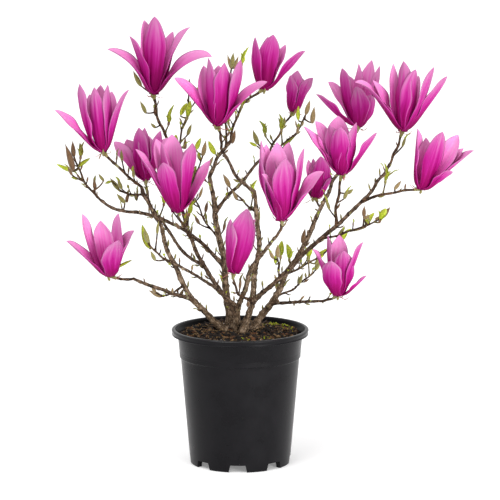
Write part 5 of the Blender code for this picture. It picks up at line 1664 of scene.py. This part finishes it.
def pot_profile():
    """From the middle of the underside, out, up the outside, over the rim and down inside.

    The small steps and roundings are offsets from the named sizes, in metres.
    """
    neck = POT_HEIGHT - RIM_DEPTH
    floor = FOOT_HEIGHT + FLOOR
    band = BAND_BOTTOM_HEIGHT
    step = band - STEP_DROP
    foot = [(NEAR_AXIS, 0.0), (PAD_RADIUS, 0.0), (PAD_RADIUS, FOOT_HEIGHT),
            (FOOT_INNER_RADIUS, FOOT_HEIGHT), (FOOT_INNER_RADIUS, 0.0),
            *arc((BASE_RADIUS - 0.0010, 0.0015), 0.0015, -90, 0, 5),
            (BASE_RADIUS + 0.0008, 0.006)]
    step_and_band = [(WAIST_RADIUS - 0.0001, band - 0.0070),
                     *arc((WAIST_RADIUS + 0.0013, band - 0.0022), 0.0013, 180, 95, 5),
                     *arc((BAND_BOTTOM_RADIUS - 0.0009, band + 0.0003), 0.0009, -85, 10, 6),
                     (BAND_BOTTOM_RADIUS + 0.0002, band + 0.0050),
                     *arc((BAND_BOTTOM_RADIUS - 0.0003, band + 0.0066), 0.0007, -50, 50, 4),
                     (BAND_BOTTOM_RADIUS + 0.0003, band + 0.0080),
                     (BAND_TOP_RADIUS - 0.0003, neck - 0.0040),
                     (BAND_TOP_RADIUS, neck - 0.0010)]
    rim = [(RIM_RADIUS - 0.0050, neck + 0.0002),
           *arc((RIM_RADIUS - 0.0014, neck + 0.0011), 0.0009, -110, 60, 7),
           (RIM_RADIUS - 0.0011, neck + 0.0026),
           (RIM_RADIUS - 0.0007, neck + 0.0048),
           *arc((RIM_RADIUS - 0.0026, POT_HEIGHT - 0.0026), 0.0026, 10, 90, 8),
           *arc((RIM_LIP_RADIUS + 0.0012, POT_HEIGHT - 0.0012), 0.0012, 90, 180, 5),
           (RIM_LIP_RADIUS - 0.0006, POT_HEIGHT - 0.0032)]
    inside = [(inner_radius(neck) + 0.0012, neck + 0.0020),
              (inner_radius(neck), neck - 0.0020),
              (inner_radius(step + INNER_STEP_RISE), step + INNER_STEP_RISE),
              (inner_radius(step), step),
              *arc((inner_radius(floor) - CORNER, floor + CORNER), CORNER, 0, -90, 5),
              (NEAR_AXIS, floor)]
    return foot + step_and_band + rim + inside


def notch_cutters():
    """Eight trapezoid prisms, wider below, in one mesh."""
    heap = Heap("notch_cutter")
    near, far = FOOT_INNER_RADIUS - NOTCH_OVERSHOOT, BASE_RADIUS + NOTCH_OVERSHOOT
    for index in range(NOTCH_COUNT):
        turn = NOTCH_TURN - math.pi / 2.0 + 2.0 * math.pi * index / NOTCH_COUNT
        right, ahead = math.cos(turn), math.sin(turn)
        rings = []
        for width, height in ((NOTCH_BOTTOM_WIDTH, -NOTCH_OVERSHOOT),
                              (NOTCH_TOP_WIDTH, FOOT_HEIGHT)):
            corners = ((near, -width / 2), (far, -width / 2), (far, width / 2), (near, width / 2))
            rings.append([(x * right - y * ahead, x * ahead + y * right, height)
                          for x, y in corners])
        heap.add(loft(np.array(rings)))
    return heap


def pot_finish(face):
    """The number of a face's finish: 0 outside, 1 inside (painted shade), 2 rim top (painted
    highlight).
    """
    away, height = face.center.xy.length, face.center.z
    looks_in = face.normal.xy.dot(face.center.xy) < -0.5 * away
    if looks_in and height > FOOT_HEIGHT + FLOOR and away < INSIDE_RADIUS:
        return 1
    return 2 if height > POT_HEIGHT - RIM_HIGHLIGHT_DEPTH and away > INSIDE_RADIUS else 0


def build_pot():
    heap = Heap("nursery_pot")
    heap.add(loft(turned(pot_profile(), POT_STEPS)))
    pot = heap.piece(POT_FINISHES, "pot", ["pot"])
    cutter = notch_cutters().piece([], "pot")
    cut = pot.modifiers.new("notches", "BOOLEAN")
    cut.operation = "DIFFERENCE"
    cut.object = cutter
    bpy.context.view_layer.update()
    shown = pot.evaluated_get(bpy.context.evaluated_depsgraph_get())
    mesh = bpy.data.meshes.new_from_object(shown)
    pot.modifiers.clear()
    pot.data = mesh
    bpy.data.objects.remove(cutter)
    for face in mesh.polygons:
        face.material_index = pot_finish(face)
    mesh.shade_smooth()
    mesh.set_sharp_from_angle(angle=SHARP_EDGE)
    print("pot faces:", len(mesh.polygons))


build_pot()

# %% [markdown]
# Damp bark compost
# Potting compost is peat and composted bark: nearly black where it is damp, with chips of fresh
# and rotted bark in every brown. Its surface scatters light like felt, so the roughness is close
# to one. The bed is one material and each kind of chip has its own plain colour.

# %% Damp bark compost
CRUMB_SIZE = 1.6 * MM
CRUMB_RELIEF = 0.6 * MM
CHIP_FINISHES = (  # each with its darkest and lightest colour and its roughness
    ("rotted_bark", "#090402", "#1B1009", 0.9), ("brown_bark_chip", "#1C1008", "#3B2716", 0.9),
    ("dry_bark_chip", "#55402A", "#8A6E4A", 0.9), ("red_bark_chip", "#452814", "#7A4E2B", 0.9),
    ("yellow_grain", "#8C7418", "#C9A92C", 0.7), ("pale_grit", "#8E8678", "#C9C2B4", 0.7))


def compost(name, dark, light, roughness):
    return speckle(new_material(name, light, roughness, ior=1.45), CRUMB_SIZE,
                   {"Detail": 4.0, "Roughness": 0.7}, [(0.38, dark), (0.64, light)],
                   strength=0.8, depth=CRUMB_RELIEF)


bed_finish = compost("damp_compost", "#080402", "#1D1107", 0.95)
chip_finishes = [compost(*row) for row in CHIP_FINISHES]
coir_finish = compost("coir_fibre", "#5A4428", "#93764C", 0.8)
print("compost finishes:", 2 + len(chip_finishes))

# %% [markdown]
# The soil and its chips
# The soil is a plug that fills the pot, with a low mound in the middle and a lumpy top. Fine
# lumps come from noise, and more than four thousand wedge-shaped chips lie on it and half in it,
# flat or a little tilted, each with one of six colours.

# %% The soil and its chips
SOIL_FLAT_RADIUS = 0.048
SOIL_EDGE_DROP = 0.003
SOIL_SINK = 1.2 * MM
SOIL_SHOULDER = 0.186
SOIL_SIDES = 160
SOIL_RINGS = 46
LUMP_SIZE = 9.0 * MM
LUMP_LEVEL = 0.3
LUMP_HEIGHT = 2.4 * MM
LUMP_FRACTAL = (0.8, 2.1, 4)  # how fast finer lumps fade, how much finer, and how many
CHIPS = 4600
CHIPS_SEED = 11
CHIP_SIZES = (1.4 * MM, 8.5 * MM)
CHIP_WIDTHS, CHIP_HEIGHTS = (0.35, 0.8), (0.2, 0.5)
CHIP_SKEW = (0.55, 1.15)
CHIP_LIE = (0.0, 1.3)
MOSTLY_SMALL = 2.6
CHIP_TILT = 0.4
CHIP_EDGE = 2.5 * MM
CHIP_SHARES = (0.50, 0.74, 0.86, 0.94, 0.98, 1.0)  # of all chips, up to each finish
FIRST_GRAIN, GRAIN_SCALE = 4, 0.6


def soil_edge():
    return inner_radius(SOIL_LEVEL - SOIL_EDGE_DROP) - 2.0 * GAP


def soil_height(x, y):
    """The soil's level at a place, with its lumps."""
    away = math.hypot(x, y)
    fall = max(0.0, (away - SOIL_FLAT_RADIUS) / (soil_edge() - SOIL_FLAT_RADIUS))
    lump = noise.fractal(Vector((x, y, LUMP_LEVEL)) / LUMP_SIZE, *LUMP_FRACTAL)
    return SOIL_LEVEL - SOIL_EDGE_DROP * fall ** 1.5 - SOIL_SINK + LUMP_HEIGHT * lump


def build_soil():
    """The plug: up beside the pot's wall, and in over the lumpy top."""
    heap = Heap("compost")
    play = 2.0 * GAP
    floor = FOOT_HEIGHT + FLOOR + GAP
    step = BAND_BOTTOM_HEIGHT - STEP_DROP + play
    above = step + INNER_STEP_RISE
    low = [(NEAR_AXIS, floor), (inner_radius(floor) - play - CORNER, floor),
           (inner_radius(floor + CORNER) - play, floor + CORNER),
           (inner_radius(step - play) - play, step), (inner_radius(above - play) - play, above),
           (soil_edge() - 2.0 * NEAR_AXIS, SOIL_SHOULDER)]
    top = [(radius, 0.0) for radius in np.linspace(soil_edge(), 2.0 * NEAR_AXIS, SOIL_RINGS)]
    rings = turned(low + top, SOIL_SIDES)
    for ring in rings[len(low):]:
        for point in ring:
            point[2] = soil_height(point[0], point[1])
    heap.add(loft(rings))
    heap.piece([bed_finish], "soil", ["soil"])


def chance_turn(seed):
    """A turn about the upright axis by any angle, and then two small tilts."""
    a, b, c = seed.uniform(0, A_TURN), seed.normal(0, CHIP_TILT), seed.normal(0, CHIP_TILT)
    spin = np.array([(math.cos(a), -math.sin(a), 0), (math.sin(a), math.cos(a), 0), (0, 0, 1)])
    tip = np.array([(1, 0, 0), (0, math.cos(b), -math.sin(b)), (0, math.sin(b), math.cos(b))])
    lean = np.array([(math.cos(c), 0, math.sin(c)), (0, 1, 0), (-math.sin(c), 0, math.cos(c))])
    return spin @ tip @ lean


def build_chips():
    """Cubes pulled out of shape, flattened, turned and scattered over the bed."""
    seed = np.random.default_rng(CHIPS_SEED)
    heap = Heap("bark_chips")
    cube = np.array([(x, y, z) for x in (-1, 1) for y in (-1, 1) for z in (-1, 1)], float)
    faces = np.array([(0, 1, 3, 2), (4, 6, 7, 5), (0, 4, 5, 1), (2, 3, 7, 6), (0, 2, 6, 4),
                      (1, 5, 7, 3)])
    reach = soil_edge() - CHIP_EDGE
    smallest, largest = CHIP_SIZES
    for _ in range(CHIPS):
        away, turn = reach * math.sqrt(seed.random()), seed.uniform(0, 2 * math.pi)
        x, y = away * math.cos(turn), away * math.sin(turn)
        length = smallest + (largest - smallest) * seed.random() ** MOSTLY_SMALL
        size = np.array([length, length * seed.uniform(*CHIP_WIDTHS),
                         length * seed.uniform(*CHIP_HEIGHTS)]) / 2.0
        points = cube * size * seed.uniform(*CHIP_SKEW, cube.shape)
        points = points @ chance_turn(seed).T
        slot = int(np.searchsorted(CHIP_SHARES, seed.random()))
        if slot >= FIRST_GRAIN:
            points = points * GRAIN_SCALE
        points = points + (x, y, soil_height(x, y) + size[2] * seed.uniform(*CHIP_LIE))
        heap.add((points, [faces]), slot)
    heap.piece(chip_finishes, "soil", smooth=False)


# %% [markdown]
# Fibres and moss
# Fine roots and coir fibres lie curled on the chips, a millimetre or so clear of them. Moss grows
# at the back right and a few seedlings near the front. Both are crowds of leaves a few millimetres
# long, so the young leaves' own function makes them.

# %% Fibres and moss
FIBRES = 170
FIBRE_POINTS = 9
FIBRE_SIDES = 5
FIBRE_LENGTH = (5, 16)  # in millimetres
FIBRE_RADIUS = (0.25, 0.5)  # in millimetres
FIBRE_BEND = 2.6
FIBRE_LIFT = 1.0 * MM
FIBRE_RISE = (0.5, 3.5)  # in millimetres
FIBRE_AREA, FIBRE_LIMIT, MOSS_LIMIT = 0.082, 0.083, 0.081
MOSS_SPREAD = (5.5 * MM, 3.5 * MM)
MOSS_TILT = 0.5
MOSS_LENGTH, MOSS_WIDTH = (2.5, 7.0), (1.2, 2.6)  # in millimetres
MOSS_OPENING = (0.1, 1.2)
MOSS_COLOURS = (1, 1, 2)  # bright twice as often as fresh
MOSS_PLACES = (  # right, back, how many leaves
    (0.052, 0.052, 60), (0.064, 0.038, 30), (0.070, 0.020, 14), (0.010, -0.062, 4),
    (0.036, -0.052, 5))


def add_fibre(heap, seed):
    """A curled fibre on the bed, unless it would reach the pot."""
    away, turn = FIBRE_AREA * math.sqrt(seed.random()), seed.uniform(0, 2 * math.pi)
    x, y = away * math.cos(turn), away * math.sin(turn)
    heading, bend = seed.uniform(0, 2 * math.pi), seed.uniform(-FIBRE_BEND, FIBRE_BEND)
    share = np.linspace(0.0, 1.0, FIBRE_POINTS)
    length = seed.uniform(*FIBRE_LENGTH) * MM
    angles = heading + bend * share
    line = np.stack([x + np.cumsum(np.cos(angles)) * length / FIBRE_POINTS,
                     y + np.cumsum(np.sin(angles)) * length / FIBRE_POINTS, 0.0 * share], -1)
    if np.linalg.norm(line[:, :2], axis=1).max() > FIBRE_LIMIT:
        return
    rise = seed.uniform(*FIBRE_RISE) * MM
    for place, lift in zip(line, np.sin(share * math.pi)):
        place[2] = soil_height(place[0], place[1]) + FIBRE_LIFT + rise * lift
    radii = np.full(FIBRE_POINTS, seed.uniform(*FIBRE_RADIUS) * MM)
    heap.add(tube(line, radii, FIBRE_SIDES), 0)


def add_moss_leaf(heap, middle_x, middle_y, seed):
    """A tiny leaf near the middle of a tuft, unless it would reach the pot."""
    x = middle_x + seed.gauss(0, MOSS_SPREAD[0])
    y = middle_y + seed.gauss(0, MOSS_SPREAD[1])
    if math.hypot(x, y) > MOSS_LIMIT:
        return
    up = unit(np.array([seed.gauss(0, MOSS_TILT), seed.gauss(0, MOSS_TILT), 1.0]))
    out = unit(np.array([seed.gauss(0, 1), seed.gauss(0, 1), 0.1]))
    add_leaf(heap, np.array([x, y, soil_height(x, y)]), up, out,
             seed.uniform(*MOSS_LENGTH) * MM, seed.uniform(*MOSS_WIDTH) * MM,
             seed.uniform(*MOSS_OPENING), seed.choice(MOSS_COLOURS), seed)


def build_fibres_and_moss():
    seed = random.Random("fibres")
    heap = Heap("fibres_and_moss")
    for _ in range(FIBRES):
        add_fibre(heap, seed)
    for x, y, count in MOSS_PLACES:
        for _ in range(count):
            add_moss_leaf(heap, x, y, seed)
    heap.piece([coir_finish, bright_leaf, fresh_leaf], "soil")


build_soil()
build_chips()
build_fibres_and_moss()
